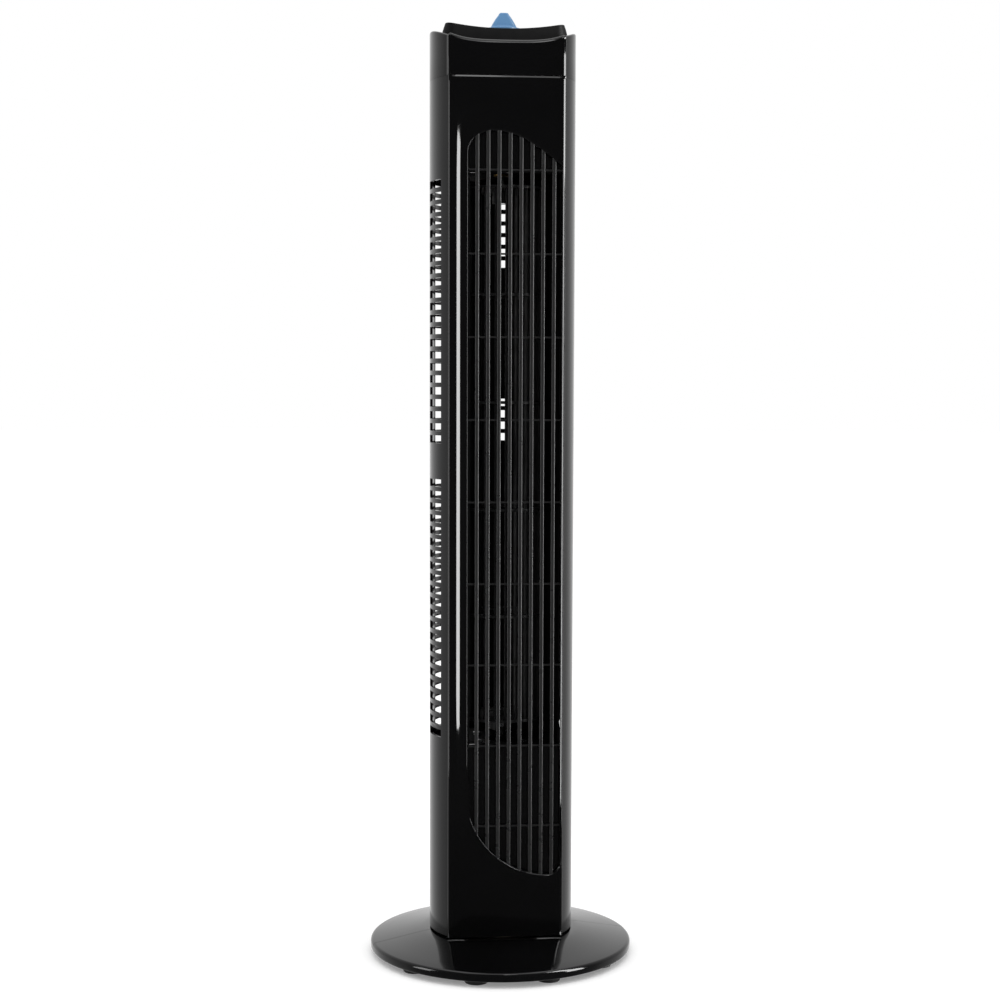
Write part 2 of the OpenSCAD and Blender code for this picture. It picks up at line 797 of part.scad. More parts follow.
module swing_motor() {
    color("#c3c6ca") translate([0, pinion_y, swing_motor_z]) difference() {
        union() {
            cylinder(r = swing_motor_r, h = swing_motor_h);
            translate([0, 0, -2]) cylinder(r = 8, h = 3);
            translate([-swing_ear_x, -4, 0]) cube([2 * swing_ear_x, 8, 1.2]);
            for (s = [-1, 1]) translate([s * swing_ear_x, 0, 0]) cylinder(r = 4, h = 1.2);
        }
        translate([0, 0, -3]) cylinder(r = swing_shaft_r + journal_gap, h = 12);
        for (s = [-1, 1]) translate([s * swing_ear_x, 0, -1]) cylinder(r = 1.6, h = 4);
    }
}

module swing_motor_screws() {
    color(steel) for (s = [-1, 1]) translate([s * swing_ear_x, pinion_y, swing_motor_z + 1.2]) screw(1.3, 9.6, 2.6, 1.8);
}

module swing_pinion() {
    color(ivory) translate([0, pinion_y, 0]) {
        translate([0, 0, gear_z]) linear_extrude(gear_h) rotate(180 / pinion_teeth) gear_plan(pinion_teeth);
        translate([0, 0, gear_z]) cylinder(r = swing_shaft_r, h = swing_motor_z + 8 - gear_z);
    }
}

// ---- electrics ----

module run_capacitor() {
    color("#d9d6cc") translate([-44, -12, 70]) cube([18, 24, 34]);
}

module capacitor_clip() {
    color(steel) difference() {
        translate([-45, -13, 82]) cube([20, 26, 8]);
        translate([-44, -12, 70]) cube([18, 24, 34]);
    }
    color(steel) translate([-57.5, -3, 82]) cube([12.7, 6, 8]);
}

// Bundle of wires that runs up behind the scroll from the motor to the switches
module wiring_harness() {
    bend = 10;
    low = 95;
    high = 720;
    color("#303032") rotate(harness_angle) translate([harness_ring_r, 0, 0]) {
        translate([0, 0, low]) cylinder(r = harness_r, h = high - low);
        translate([-bend, 0, high]) rotate([90, 0, 0]) rotate_extrude(angle = 90) translate([bend, 0]) circle(r = harness_r);
        translate([-bend - 18, 0, high + bend]) rotate([0, 90, 0]) cylinder(r = harness_r, h = 18);
        translate([-bend, 0, low]) rotate([90, 0, 0]) rotate_extrude(angle = -90) translate([bend, 0]) circle(r = harness_r);
        translate([-bend - 10, 0, low - bend]) rotate([0, 90, 0]) cylinder(r = harness_r, h = 10);
    }
}

// ---- top ----

// Round channel across the top, from front to back, that makes a dip of radius r with its floor at z
module dip(z, r) {
    translate([0, 100, z + r]) rotate([90, 0, 0]) cylinder(r = r, h = 200);
}

// Rise of the cap's rim at x: nearly level in the middle, steep at the sides
function rim_rise(x) = cap_rise * pow(abs(x) / tower_r, 4);

// Everything above the cap's dipped top, which is lowered by the given amount
module above_rim(drop = 0) {
    edge = tower_r + 2;
    steps = 24;
    translate([0, 100, 0]) rotate([90, 0, 0]) linear_extrude(200) polygon(concat(
        [for (i = [-steps : steps]) let (x = i * edge / steps) [x, cap_dip - drop + rim_rise(x)]],
        [[edge, 900], [-edge, 900]]));
}

module top_cap() {
    color(black) difference() {
        translate([0, 0, cap_seam]) linear_extrude(50) tower_plan();
        above_rim();
        difference() {
            translate([0, 0, cap_seam - 1]) linear_extrude(60) tower_plan(wall);
            above_rim(wall);
        }
        translate([0, 0, cap_seam]) cylinder(r = cap_hole_r, h = 50);
        for (s = [-1, 1]) translate([s * cap_screw_x, 0, cap_seam]) cylinder(r = 1.6, h = 60);
    }
    // lip that locates the cap inside the housings
    for (part = [[cap_seam - 5, 7, 0.2], [cap_seam, 2, -0.6]])
        color(black) translate([0, 0, part[0]]) linear_extrude(part[1]) difference() {
            inner_plan(part[2]);
            inner_plan(2);
        }
}

module cap_screws() {
    color(steel) for (s = [-1, 1])
        translate([s * cap_screw_x, 0, cap_dip - wall + rim_rise(cap_screw_x - 2.8)])
            mirror([0, 0, 1]) screw(1.4, 7.4, 2.8, 1.8);
}

// Plan of the control panel: round at the back, straight across the front, with rounded corners
module insert_plan(inset = 0) {
    r = insert_r - inset;
    corner = insert_corner - inset;
    centre = [r - corner, corner + inset - insert_front_y];
    polygon(concat(
        [for (i = [0 : 60]) polar(r, i * 3)],
        [for (i = [0 : 6]) [-centre[0], centre[1]] + polar(corner, 180 + i * 15)],
        [for (i = [0 : 6]) centre + polar(corner, 270 + i * 15)]));
}

// Raised control panel on the cap, with its own rounder dip
module control_panel() {
    color(satin_black) difference() {
        intersection() {
            translate([0, 0, cap_dip - 1]) linear_extrude(30) insert_plan();
            above_rim();
        }
        dip(panel_dip, panel_dip_r);
        difference() {
            translate([0, 0, cap_dip - 2]) linear_extrude(40) insert_plan(insert_t);
            dip(panel_dip - insert_t, panel_dip_r);
            for (s = [-1, 1]) translate([s * cap_screw_x, 0, cap_dip - 1]) cylinder(r = 4, h = 20);
        }
        translate([0, 0, cap_dip - 5]) cylinder(r = 4.4, h = 40);
        translate([button_x, 0, cap_dip - 5]) cylinder(r = button_r + button_gap, h = 40);
        for (s = [-1, 1]) translate([s * cap_screw_x, 0, cap_dip - 2]) cylinder(r = 1.4, h = 11);
    }
}

module rotary_switch_body() {
    top = panel_dip - insert_t;
    color("#2e2f33") difference() {
        union() {
            translate([-13, -13, top - 20]) cube([26, 26, 16]);
            translate([0, 0, top - 5]) cylinder(r = 4, h = 5 + insert_t + 1.2);
            translate([-8, -8, top - 4.5]) cube([16, 16, 4.5]);
            for (x = [-8, 0, 8], y = [-6, 6]) translate([x - 0.4, y - 2, top - 26]) cube([0.8, 4, 7]);
        }
        translate([0, 0, top - 12]) cylinder(r = spindle_r + 0.05, h = 40);
    }
}

module switch_nut() {
    color(steel) translate([0, 0, panel_dip + 0.2]) difference() {
        cylinder(r = 6.5, h = 1.2, $fn = 6);
        translate([0, 0, -1]) cylinder(r = 4, h = 6);
    }
}

module switch_spindle() {
    color(ivory) translate([0, 0, panel_dip - insert_t - 10]) cylinder(r = spindle_r, h = 20);
}

// Push switch for the swing motor under its button
module swing_switch_body() {
    color("#2e2f33") difference() {
        union() {
            translate([button_x - 7, -7, 738]) cube([14, 14, 12]);
            for (y = [-4, 4]) translate([button_x - 1.5, y - 0.4, 733]) cube([3, 0.8, 6]);
            translate([button_x - 7, -10, 745]) cube([14, 3.2, 18.9]);
            translate([button_x - 7, 6.8, 745]) cube([14, 3.2, 18.9]);
        }
        translate([button_x, 0, 742]) cylinder(r = 2.5, h = 20);
    }
}

module swing_button() {
    color(knob_blue) translate([button_x, 0, 0]) {
        translate([0, 0, button_face_z - 6]) cylinder(r = button_r, h = 9);
        translate([0, 0, 746]) cylinder(r = 2, h = button_face_z - 6 - 746 + eps);
    }
}

// Grip knob: a round skirt with a tapered bar across it
module speed_knob() {
    skirt_z = panel_dip + 1.2 + knob_gap;
    skirt_h = 1.6;
    grip_low = 10.5;
    grip_high = 4;
    color(knob_blue) difference() {
        union() {
            translate([0, 0, skirt_z]) cylinder(r1 = knob_r, r2 = knob_r - 1, h = skirt_h);
            intersection() {
                translate([0, 25, 0]) rotate([90, 0, 0]) linear_extrude(50) polygon([
                    [-grip_low, skirt_z + skirt_h / 2], [grip_low, skirt_z + skirt_h / 2], [grip_low, skirt_z + skirt_h + 0.6],
                    [grip_high, knob_top], [-grip_high, knob_top], [-grip_low, skirt_z + skirt_h + 0.6]]);
                translate([0, 0, skirt_z]) cylinder(r1 = knob_r - 0.4, r2 = knob_r - 4, h = knob_top - skirt_z);
            }
        }
        translate([0, 0, skirt_z - 1]) cylinder(r = spindle_r, h = panel_dip - insert_t + 10 - skirt_z + 1.4);
    }
}

foot_front_half();
foot_rear_half();
rubber_feet();
pivot_neck();
neck_screws();
thrust_washer();
fixed_swing_gear();
gear_screws();
cord_gland();
bottom_plate();
bottom_plate_screws();
front_housing();
rear_housing();
housing_screws();
front_panel();
outlet_grille();
motor_deck_plate();
top_deck_plate();
deck_screws();
scroll_wall();
tongue_wall();
motor_stator();
stator_windings();
motor_lower_bracket();
motor_upper_bracket();
motor_lower_bushing();
motor_upper_bushing();
motor_through_bolts();
motor_grommets();
motor_mount_screws();
top_bearing_rubber();
top_bearing_bush();
bearing_cap();
bearing_cap_screws();
swing_motor();
swing_motor_screws();
run_capacitor();
capacitor_clip();
wiring_harness();
top_cap();
cap_screws();
control_panel();
rotary_switch_body();
switch_nut();
swing_switch_body();
motor_shaft();
rotor_core();
shaft_collars();
impeller();
impeller_hub();
hub_set_screw();
impeller_pin();
swing_pinion();
switch_spindle();
speed_knob();
swing_button();
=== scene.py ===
"""Tower fan: camera, light, and the finished outer pieces built over the CAD frame."""
import math

import bmesh
import bpy
from mathutils import Matrix, Vector


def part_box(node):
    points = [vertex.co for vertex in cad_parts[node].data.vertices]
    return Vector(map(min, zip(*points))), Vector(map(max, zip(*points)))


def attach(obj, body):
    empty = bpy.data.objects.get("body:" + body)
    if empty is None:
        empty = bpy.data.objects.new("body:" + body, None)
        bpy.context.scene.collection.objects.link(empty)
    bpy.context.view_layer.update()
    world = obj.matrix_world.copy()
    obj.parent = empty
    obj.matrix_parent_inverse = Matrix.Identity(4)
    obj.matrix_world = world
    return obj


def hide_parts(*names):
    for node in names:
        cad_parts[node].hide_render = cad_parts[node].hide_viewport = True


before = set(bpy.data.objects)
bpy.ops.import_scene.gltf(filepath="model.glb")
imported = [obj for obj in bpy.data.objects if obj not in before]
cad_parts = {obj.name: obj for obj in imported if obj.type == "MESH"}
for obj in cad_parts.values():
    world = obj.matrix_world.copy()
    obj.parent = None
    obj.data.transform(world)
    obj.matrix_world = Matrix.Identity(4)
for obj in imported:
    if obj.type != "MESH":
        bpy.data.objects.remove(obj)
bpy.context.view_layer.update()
scene = bpy.context.scene
MM = 0.001


def box_mm(node):
    """A CAD node's lowest and highest corners in millimetres."""
    low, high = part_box(node)
    return [c / MM for c in low], [c / MM for c in high]


# ---------------------------------------------------------------- camera

CAMERA_AT = (-0.1466, -1.5825, 0.4763)
CAMERA_YAW = math.radians(-5.293)
CAMERA_PITCH = math.radians(85.431)
CAMERA_ROLL = math.radians(0.158)

camera_data = bpy.data.cameras.new("camera")
camera_data.lens = 68.53
camera_data.sensor_width = 36.0
camera_data.shift_x = -0.0014
camera_data.shift_y = 0.0398
camera_data.clip_start = 0.05
camera_data.clip_end = 60.0
camera = bpy.data.objects.new("camera", camera_data)
scene.collection.objects.link(camera)
camera_turn = (Matrix.Rotation(CAMERA_YAW, 4, "Z") @ Matrix.Rotation(CAMERA_PITCH, 4, "X")
               @ Matrix.Rotation(CAMERA_ROLL, 4, "Z"))
camera.matrix_world = Matrix.Translation(CAMERA_AT) @ camera_turn
scene.camera = camera
scene.view_settings.view_transform = "Standard"

# ---------------------------------------------------------------- materials


class Graph:
    """Short way to write a material's nodes."""

    def __init__(self, name):
        self.material = bpy.data.materials.new(name)
        self.material.use_nodes = True
        self.nodes = self.material.node_tree.nodes
        self.links = self.material.node_tree.links
        self.shader = self.nodes["Principled BSDF"]
        self.place = self.node("ShaderNodeTexCoord").outputs["Object"]

    def node(self, kind, **settings):
        made = self.nodes.new(kind)
        for key, value in settings.items():
            setattr(made, key, value)
        return made

    def link(self, source, target):
        self.links.new(source, target)

    def noise(self, scale, detail=3.0, stretch=(1, 1, 1)):
        mapping = self.node("ShaderNodeMapping")
        mapping.inputs["Scale"].default_value = stretch
        self.link(self.place, mapping.inputs["Vector"])
        noise = self.node("ShaderNodeTexNoise")
        noise.inputs["Scale"].default_value = scale
        noise.inputs["Detail"].default_value = detail
        self.link(mapping.outputs["Vector"], noise.inputs["Vector"])
        return noise.outputs["Fac"]

    def roughness(self, source, low, high, from_low=0.3, from_high=0.7):
        """Spreads a pattern between two roughness values."""
        span = self.node("ShaderNodeMapRange")
        span.inputs["From Min"].default_value = from_low
        span.inputs["From Max"].default_value = from_high
        span.inputs["To Min"].default_value = low
        span.inputs["To Max"].default_value = high
        self.link(source, span.inputs["Value"])
        self.link(span.outputs["Result"], self.shader.inputs["Roughness"])

    def colours(self, source, first, second, from_low=0.3, from_high=0.7):
        """Spreads a pattern between two colours."""
        blend = self.node("ShaderNodeValToRGB")
        blend.color_ramp.elements[0].position = from_low
        blend.color_ramp.elements[0].color = (*first, 1)
        blend.color_ramp.elements[1].position = from_high
        blend.color_ramp.elements[1].color = (*second, 1)
        self.link(source, blend.inputs["Fac"])
        self.link(blend.outputs["Color"], self.shader.inputs["Base Color"])

    def bump(self, source, strength, distance):
        bump = self.node("ShaderNodeBump")
        bump.inputs["Strength"].default_value = strength
        bump.inputs["Distance"].default_value = distance
        self.link(source, bump.inputs["Height"])
        self.link(bump.outputs["Normal"], self.shader.inputs["Normal"])

    def set(self, **sockets):
        """Sets uniform values, with _ for a space in a socket's name."""
        for key, value in sockets.items():
            self.shader.inputs[key.replace("_", " ")].default_value = value


def plastic(name, colour, second, rough, grain=900.0, bump=0.1, mottle=35.0, ior=1.5):
    """Moulded plastic or rubber: a slightly uneven colour and gloss with a fine surface grain."""
    g = Graph(name)
    g.colours(g.noise(mottle, 4), colour, second)
    g.roughness(g.noise(mottle * 3, 5), *rough)
    g.bump(g.noise(grain, 2), bump, distance=0.00005)
    g.set(IOR=ior)
    return g.material


def metal(name, colour, second, rough, stretch=(1, 1, 1), grain=700.0, bump=0.15):
    """Bare metal with marks drawn out along one direction."""
    g = Graph(name)
    g.colours(g.noise(60, 4, stretch), colour, second)
    g.roughness(g.noise(grain, 3, stretch), *rough)
    g.bump(g.noise(grain, 2, stretch), bump, distance=0.00004)
    g.set(Metallic=1.0)
    return g.material


def lamination(name):
    """Stack of steel sheets on edge."""
    g = Graph(name)
    sheets = g.node("ShaderNodeTexWave", wave_type="BANDS", bands_direction="Z")
    sheets.inputs["Scale"].default_value = 300.0
    sheets.inputs["Distortion"].default_value = 0.4
    g.link(g.place, sheets.inputs["Vector"])
    g.colours(sheets.outputs["Fac"], (0.10, 0.10, 0.11), (0.32, 0.33, 0.35))
    g.roughness(g.noise(300, 3), 0.35, 0.55)
    g.bump(sheets.outputs["Fac"], 0.4, distance=0.0001)
    g.set(Metallic=0.9)
    return g.material


def winding(name):
    """Enamelled copper wire wound round and round."""
    g = Graph(name)
    wires = g.node("ShaderNodeTexWave", wave_type="RINGS", rings_direction="Z")
    wires.inputs["Scale"].default_value = 260.0
    wires.inputs["Distortion"].default_value = 2.5
    g.link(g.place, wires.inputs["Vector"])
    g.colours(wires.outputs["Fac"], (0.23, 0.06, 0.015), (0.62, 0.22, 0.07))
    g.bump(wires.outputs["Fac"], 0.7, distance=0.0002)
    g.set(Metallic=0.7, Roughness=0.38, Coat_Weight=0.6, Coat_Roughness=0.15)
    return g.material


# finish: the two colours it varies between, its lowest and highest roughness, other settings
PLASTICS = {
    "gloss_black": ((0.0022, 0.0022, 0.0024), (0.0031, 0.0031, 0.0033), (0.045, 0.085),
                    dict(grain=420, bump=0.02, mottle=14)),
    "gloss_body": ((0.0030, 0.0030, 0.0032), (0.0042, 0.0042, 0.0045), (0.10, 0.16),
                   dict(grain=420, bump=0.03, mottle=14)),
    "gloss_foot": ((0.0030, 0.0030, 0.0033), (0.0044, 0.0044, 0.0048), (0.06, 0.11),
                   dict(grain=420, bump=0.02, mottle=12)),
    "satin_black": ((0.006, 0.006, 0.0065), (0.010, 0.010, 0.011), (0.26, 0.36), dict(bump=0.18)),
    "grille_black": ((0.014, 0.014, 0.0143), (0.018, 0.018, 0.0183), (0.26, 0.34), dict(bump=0.03)),
    "inner_black": ((0.006, 0.006, 0.006), (0.010, 0.010, 0.011), (0.45, 0.62), dict(bump=0.2)),
    "duct_black": ((0.004, 0.004, 0.004), (0.006, 0.006, 0.0065), (0.8, 0.95), dict(bump=0.15, ior=1.25)),
    "insert_black": ((0.004, 0.004, 0.0043), (0.007, 0.007, 0.0075), (0.5, 0.62),
                     dict(bump=0.15, ior=1.3)),
    "rubber": ((0.010, 0.010, 0.010), (0.018, 0.018, 0.018), (0.65, 0.85), dict(grain=1400, bump=0.35)),
    "knob_blue": ((0.095, 0.250, 0.480), (0.112, 0.280, 0.520), (0.32, 0.42),
                  dict(grain=1200, bump=0.08)),
    "gear_ivory": ((0.66, 0.60, 0.47), (0.74, 0.69, 0.56), (0.38, 0.5), dict(grain=800, bump=0.12)),
    "switch_dark": ((0.020, 0.021, 0.024), (0.030, 0.031, 0.034), (0.4, 0.55), dict(bump=0.2)),
    "capacitor_case": ((0.60, 0.58, 0.52), (0.70, 0.68, 0.62), (0.35, 0.5), dict(bump=0.15)),
    "wire_sleeve": ((0.022, 0.022, 0.023), (0.035, 0.035, 0.036), (0.5, 0.65),
                    dict(grain=1500, bump=0.4)),
}
METALS = {
    "steel": ((0.50, 0.51, 0.53), (0.66, 0.67, 0.69), (0.18, 0.34), {}),
    "shaft_steel": ((0.55, 0.56, 0.58), (0.68, 0.69, 0.71), (0.12, 0.24), dict(stretch=(6, 6, 0.2))),
    "bronze": ((0.36, 0.22, 0.08), (0.50, 0.33, 0.13), (0.3, 0.45), {}),
    "bracket": ((0.30, 0.31, 0.33), (0.42, 0.43, 0.45), (0.32, 0.5), dict(grain=400, bump=0.3)),
}
MATERIALS = {name: plastic(name, *look, **more) for name, (*look, more) in PLASTICS.items()}
MATERIALS.update({name: metal(name, *look, **more) for name, (*look, more) in METALS.items()})
MATERIALS["lamination"] = lamination("lamination")
MATERIALS["copper"] = winding("copper")

# CAD nodes by finish; the others, such as screws, bolts, clips and nuts, are steel
FINISH_NODES = {
    "gloss_black": ["front_panel", "top_cap"],
    "gloss_body": ["front_housing", "rear_housing"],
    "gloss_foot": ["foot_front_half", "foot_rear_half"],
    "satin_black": ["pivot_neck", "bottom_plate"],
    "grille_black": ["outlet_grille"],
    "inner_black": ["impeller", "impeller_hub"],
    "duct_black": ["motor_deck_plate", "top_deck_plate", "scroll_wall", "tongue_wall"],
    "insert_black": ["control_panel"],
    "rubber": ["rubber_feet", "cord_gland", "motor_grommets", "top_bearing_rubber"],
    "knob_blue": ["speed_knob", "swing_button"],
    "gear_ivory": ["thrust_washer", "fixed_swing_gear", "shaft_collars", "swing_pinion", "switch_spindle"],
    "switch_dark": ["rotary_switch_body", "swing_switch_body"],
    "capacitor_case": ["run_capacitor"],
    "wire_sleeve": ["wiring_harness"],
    "shaft_steel": ["motor_shaft", "impeller_pin"],
    "bronze": ["motor_lower_bushing", "motor_upper_bushing", "top_bearing_bush"],
    "bracket": ["motor_lower_bracket", "motor_upper_bracket", "swing_motor"],
    "lamination": ["motor_stator", "rotor_core"],
    "copper": ["stator_windings"],
}
NODE_FINISH = {node_name: finish for finish, names in FINISH_NODES.items() for node_name in names}
for node_name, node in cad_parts.items():
    node.data.materials.clear()
    node.data.materials.append(MATERIALS[NODE_FINISH.get(node_name, "steel")])

# ---------------------------------------------------------------- light and floor

world = bpy.data.worlds.new("studio")
scene.world = world
world.use_nodes = True
sky = world.node_tree
for old in list(sky.nodes):
    sky.nodes.remove(old)


def sky_node(kind, **settings):
    made = sky.nodes.new(kind)
    for key, value in settings.items():
        setattr(made, key, value)
    return made


# the studio is dark towards the camera and bright behind the fan: position along Y, brightness
SKY = [(0.0, 0.035), (0.25, 0.06), (0.45, 0.16), (0.55, 0.36), (0.8, 0.62), (1.0, 1.0)]
direction = sky_node("ShaderNodeTexCoord").outputs["Generated"]
axes = sky_node("ShaderNodeSeparateXYZ")
sky.links.new(direction, axes.inputs[0])
along_y = sky_node("ShaderNodeMapRange")
along_y.inputs["From Min"].default_value = -1.0
along_y.inputs["From Max"].default_value = 1.0
sky.links.new(axes.outputs["Y"], along_y.inputs["Value"])
ramp = sky_node("ShaderNodeValToRGB")
while len(ramp.color_ramp.elements) < len(SKY):
    ramp.color_ramp.elements.new(0.5)
for element, (position, level) in zip(ramp.color_ramp.elements, SKY):
    element.position = position
    element.color = (level, level, level, 1)
sky.links.new(along_y.outputs["Result"], ramp.inputs["Fac"])

# only reflections see the ramp; the backdrop and the diffuse light are white
studio = sky_node("ShaderNodeBackground")
sky.links.new(ramp.outputs["Color"], studio.inputs["Color"])
white = sky_node("ShaderNodeBackground")
white.inputs["Color"].default_value = (1, 1, 1, 1)
ray = sky_node("ShaderNodeLightPath")
sees_white = sky_node("ShaderNodeMath", operation="MAXIMUM")
sky.links.new(ray.outputs["Is Camera Ray"], sees_white.inputs[0])
sky.links.new(ray.outputs["Is Diffuse Ray"], sees_white.inputs[1])
pick = sky_node("ShaderNodeMixShader")
sky.links.new(sees_white.outputs[0], pick.inputs["Fac"])
sky.links.new(studio.outputs[0], pick.inputs[1])
sky.links.new(white.outputs[0], pick.inputs[2])
sky.links.new(pick.outputs[0], sky_node("ShaderNodeOutputWorld").inputs["Surface"])


def softbox(name, place, aim, width, height, radiance, lights_floor=False):
    """Rectangular area light of a given brightness, turned towards a point."""
    data = bpy.data.lights.new(name, "AREA")
    data.shape = "RECTANGLE"
    data.size = width
    data.size_y = height
    data.energy = radiance * math.pi * width * height
    lamp = bpy.data.objects.new(name, data)
    scene.collection.objects.link(lamp)
    away = Vector(place) - Vector(aim)
    lamp.matrix_world = Matrix.Translation(place) @ away.to_track_quat("Z", "Y").to_matrix().to_4x4()
    lamp.visible_camera = False
    lamp.visible_diffuse = lights_floor


softbox("overhead", (0, 0.1, 2.6), (0, 0.1, 0), 2.4, 2.4, 0.9, lights_floor=True)
softbox("right_strip", (1.24, -0.72, 0.41), (0, 0, 0.41), 0.42, 1.2, 14.0)
softbox("right_high", (1.24, -0.72, 1.55), (0, 0, 0.40), 0.50, 0.6, 18.0)
softbox("seam_light", (0.15, -1.0, 2.0), (0, 0, 0.72), 0.32, 0.5, 1.8)
softbox("seam_light_left", (0.07, -1.0, 2.0), (0, 0, 0.72), 0.15, 0.5, 2.4)
softbox("left_strip", (-1.45, -0.42, 0.41), (0, 0, 0.41), 0.45, 1.1, 4.5)

FLOOR_R, FLOOR_SIDES = 20.0, 64
floor_mesh = bpy.data.meshes.new("floor")
floor_mesh.from_pydata([(FLOOR_R * math.cos(k * math.tau / FLOOR_SIDES),
                         FLOOR_R * math.sin(k * math.tau / FLOOR_SIDES), 0) for k in range(FLOOR_SIDES)],
                       [], [tuple(range(FLOOR_SIDES))])
floor = bpy.data.objects.new("floor", floor_mesh)
scene.collection.objects.link(floor)
paper = Graph("paper")
paper.colours(paper.noise(3, 2), (0.86, 0.86, 0.86), (0.88, 0.88, 0.88))
paper.set(Roughness=0.9, Specular_IOR_Level=0.0, Emission_Color=(1, 1, 1, 1), Emission_Strength=0.20)
floor_mesh.materials.append(paper.material)
floor.visible_glossy = False

# ---------------------------------------------------------------- mesh helpers


class Solid:
    """Points in millimetres and faces, gathered before they become one mesh."""

    def __init__(self):
        self.points = []
        self.faces = []

    def rings(self, rings, ends=False):
        """Joins closed rings of the same length one to the next, and may close the two ends."""
        first, count = len(self.points), len(rings[0])
        last = first + count * (len(rings) - 1)
        for a in range(first, last, count):
            b = a + count
            for i in range(count):
                j = (i + 1) % count
                self.faces.append((a + i, a + j, b + j, b + i))
        if ends:
            self.faces.append(tuple(range(first + count - 1, first - 1, -1)))
            self.faces.append(tuple(range(last, last + count)))
        self.points += [point for ring in rings for point in ring]

    def lathe(self, profile, centre=(0, 0), steps=96, start=0.0, sweep=360.0):
        """Revolves a closed profile of (radius, z) points; a part turn gets flat ends."""
        whole = sweep >= 360
        rings = []
        for k in range(steps if whole else steps + 1):
            a = math.radians(start + sweep * k / steps)
            c, s = math.cos(a), math.sin(a)
            rings.append([(centre[0] + r * c, centre[1] + r * s, z) for r, z in profile])
        if whole:
            rings.append(rings[0])
        self.rings(rings, ends=not whole)

    def build(self, name, body, finish, replaced=None, angle=38.0, thickness=0.0, bevel=0.0):
        """Makes the piece, rides it on its body and hides the CAD node it stands for."""
        mesh = bpy.data.meshes.new(name)
        mesh.from_pydata([(x * MM, y * MM, z * MM) for x, y, z in self.points], [], self.faces)
        work = bmesh.new()
        work.from_mesh(mesh)
        bmesh.ops.remove_doubles(work, verts=work.verts, dist=2e-6)
        bmesh.ops.dissolve_degenerate(work, edges=work.edges, dist=1e-6)
        bmesh.ops.recalc_face_normals(work, faces=work.faces)
        work.to_mesh(mesh)
        work.free()
        mesh.materials.append(MATERIALS[finish])
        piece = bpy.data.objects.new(name, mesh)
        scene.collection.objects.link(piece)
        if thickness:
            shell = piece.modifiers.new("thickness", "SOLIDIFY")
            shell.thickness = thickness * MM
            shell.offset = -1.0
        if bevel:
            soften = piece.modifiers.new("edges", "BEVEL")
            soften.width = bevel * MM
            soften.segments = 2
            soften.limit_method = "ANGLE"
            soften.angle_limit = math.radians(50)
        smooth(mesh, angle)
        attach(piece, body)
        if replaced:
            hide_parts(replaced)
        return piece


def smooth(mesh, angle):
    """Smooth shading, with edges sharper than an angle in degrees left sharp."""
    for face in mesh.polygons:
        face.use_smooth = True
    mesh.set_sharp_from_angle(angle=math.radians(angle))


def settle(piece):
    """Applies a piece's modifiers."""
    shape = bpy.data.meshes.new_from_object(piece.evaluated_get(bpy.context.evaluated_depsgraph_get()))
    piece.modifiers.clear()
    piece.data = shape
    smooth(shape, 40)


def quarter(steps, start=0.0, end=90.0):
    """Sine and cosine at even steps from one angle to another."""
    angles = [math.radians(start + (end - start) * k / steps) for k in range(steps + 1)]
    return [(math.sin(a), math.cos(a)) for a in angles]


def mix(a, b, share):
    """The point part of the way from a to b."""
    return tuple(p + (q - p) * share for p, q in zip(a, b))


def cubic(a, b, c, d, steps):
    """Points on a Bezier curve from a to d, without d."""
    made = []
    for k in range(steps):
        t = k / steps
        u = 1 - t
        made.append(tuple(u ** 3 * a[i] + 3 * u * u * t * b[i] + 3 * u * t * t * c[i] + t ** 3 * d[i]
                          for i in (0, 1)))
    return made


def touches(a, b):
    """Whether two coordinates are the same."""
    return abs(a - b) < 1e-6


# ---------------------------------------------------------------- front panel

# a wave-shaped outline is four curves and two straight sides, clockwise from the upper left
CURVE_STEPS, SIDE_STEPS = 24, 28
PEAK_POINT = CURVE_STEPS
RIGHT_SIDE = 2 * CURVE_STEPS
LOWEST_POINT = 3 * CURVE_STEPS + SIDE_STEPS
LEFT_SIDE = 4 * CURVE_STEPS + SIDE_STEPS
POINT_COUNT = LEFT_SIDE + SIDE_STEPS
# x of the sides, z of their ends, and (x, z) of the highest and lowest points
OPENING = dict(left=-31.0, right=45.2, top_left=664.0, peak=(-10.0, 682.0), top_right=654.0,
               bottom_right=86.0, lowest=(35.0, 74.2), bottom_left=137.0)
RECESS = dict(left=-41.0, right=49.0, top_left=686.0, peak=(-19.0, 704.6), top_right=670.0,
              bottom_right=47.0, lowest=(36.0, 47.0), bottom_left=125.0)
# reach of the handles of the two long curves, from the peak to the right side and from the lowest point
# to the left side
PEAK_HANDLE, TOP_RIGHT_HANDLE = 20.0, (17.0, 14.0)
LOWEST_HANDLE, BOTTOM_LEFT_HANDLE = 30.0, (3.0, 39.0)
# places of the handles of the two short curves, as a share of their width or height
LEFT_SHARE, PEAK_SHARE, RIGHT_SHARE, LOWEST_SHARE = 0.6, 0.5, 0.3, 0.6

PANEL_LOW, PANEL_HIGH = box_mm("front_panel")
FRONT = PANEL_LOW[1]
# widths of the rounded edges round the flat front
EDGE_LEFT, EDGE_RIGHT, EDGE_TOP, EDGE_BOTTOM = 2.3, 2.3, 1.7, 0.9
FLAT_LEFT, FLAT_RIGHT = PANEL_LOW[0] + EDGE_LEFT, PANEL_HIGH[0] - EDGE_RIGHT
FLAT_BOTTOM, FLAT_TOP = PANEL_LOW[2] + EDGE_BOTTOM, PANEL_HIGH[2] - EDGE_TOP
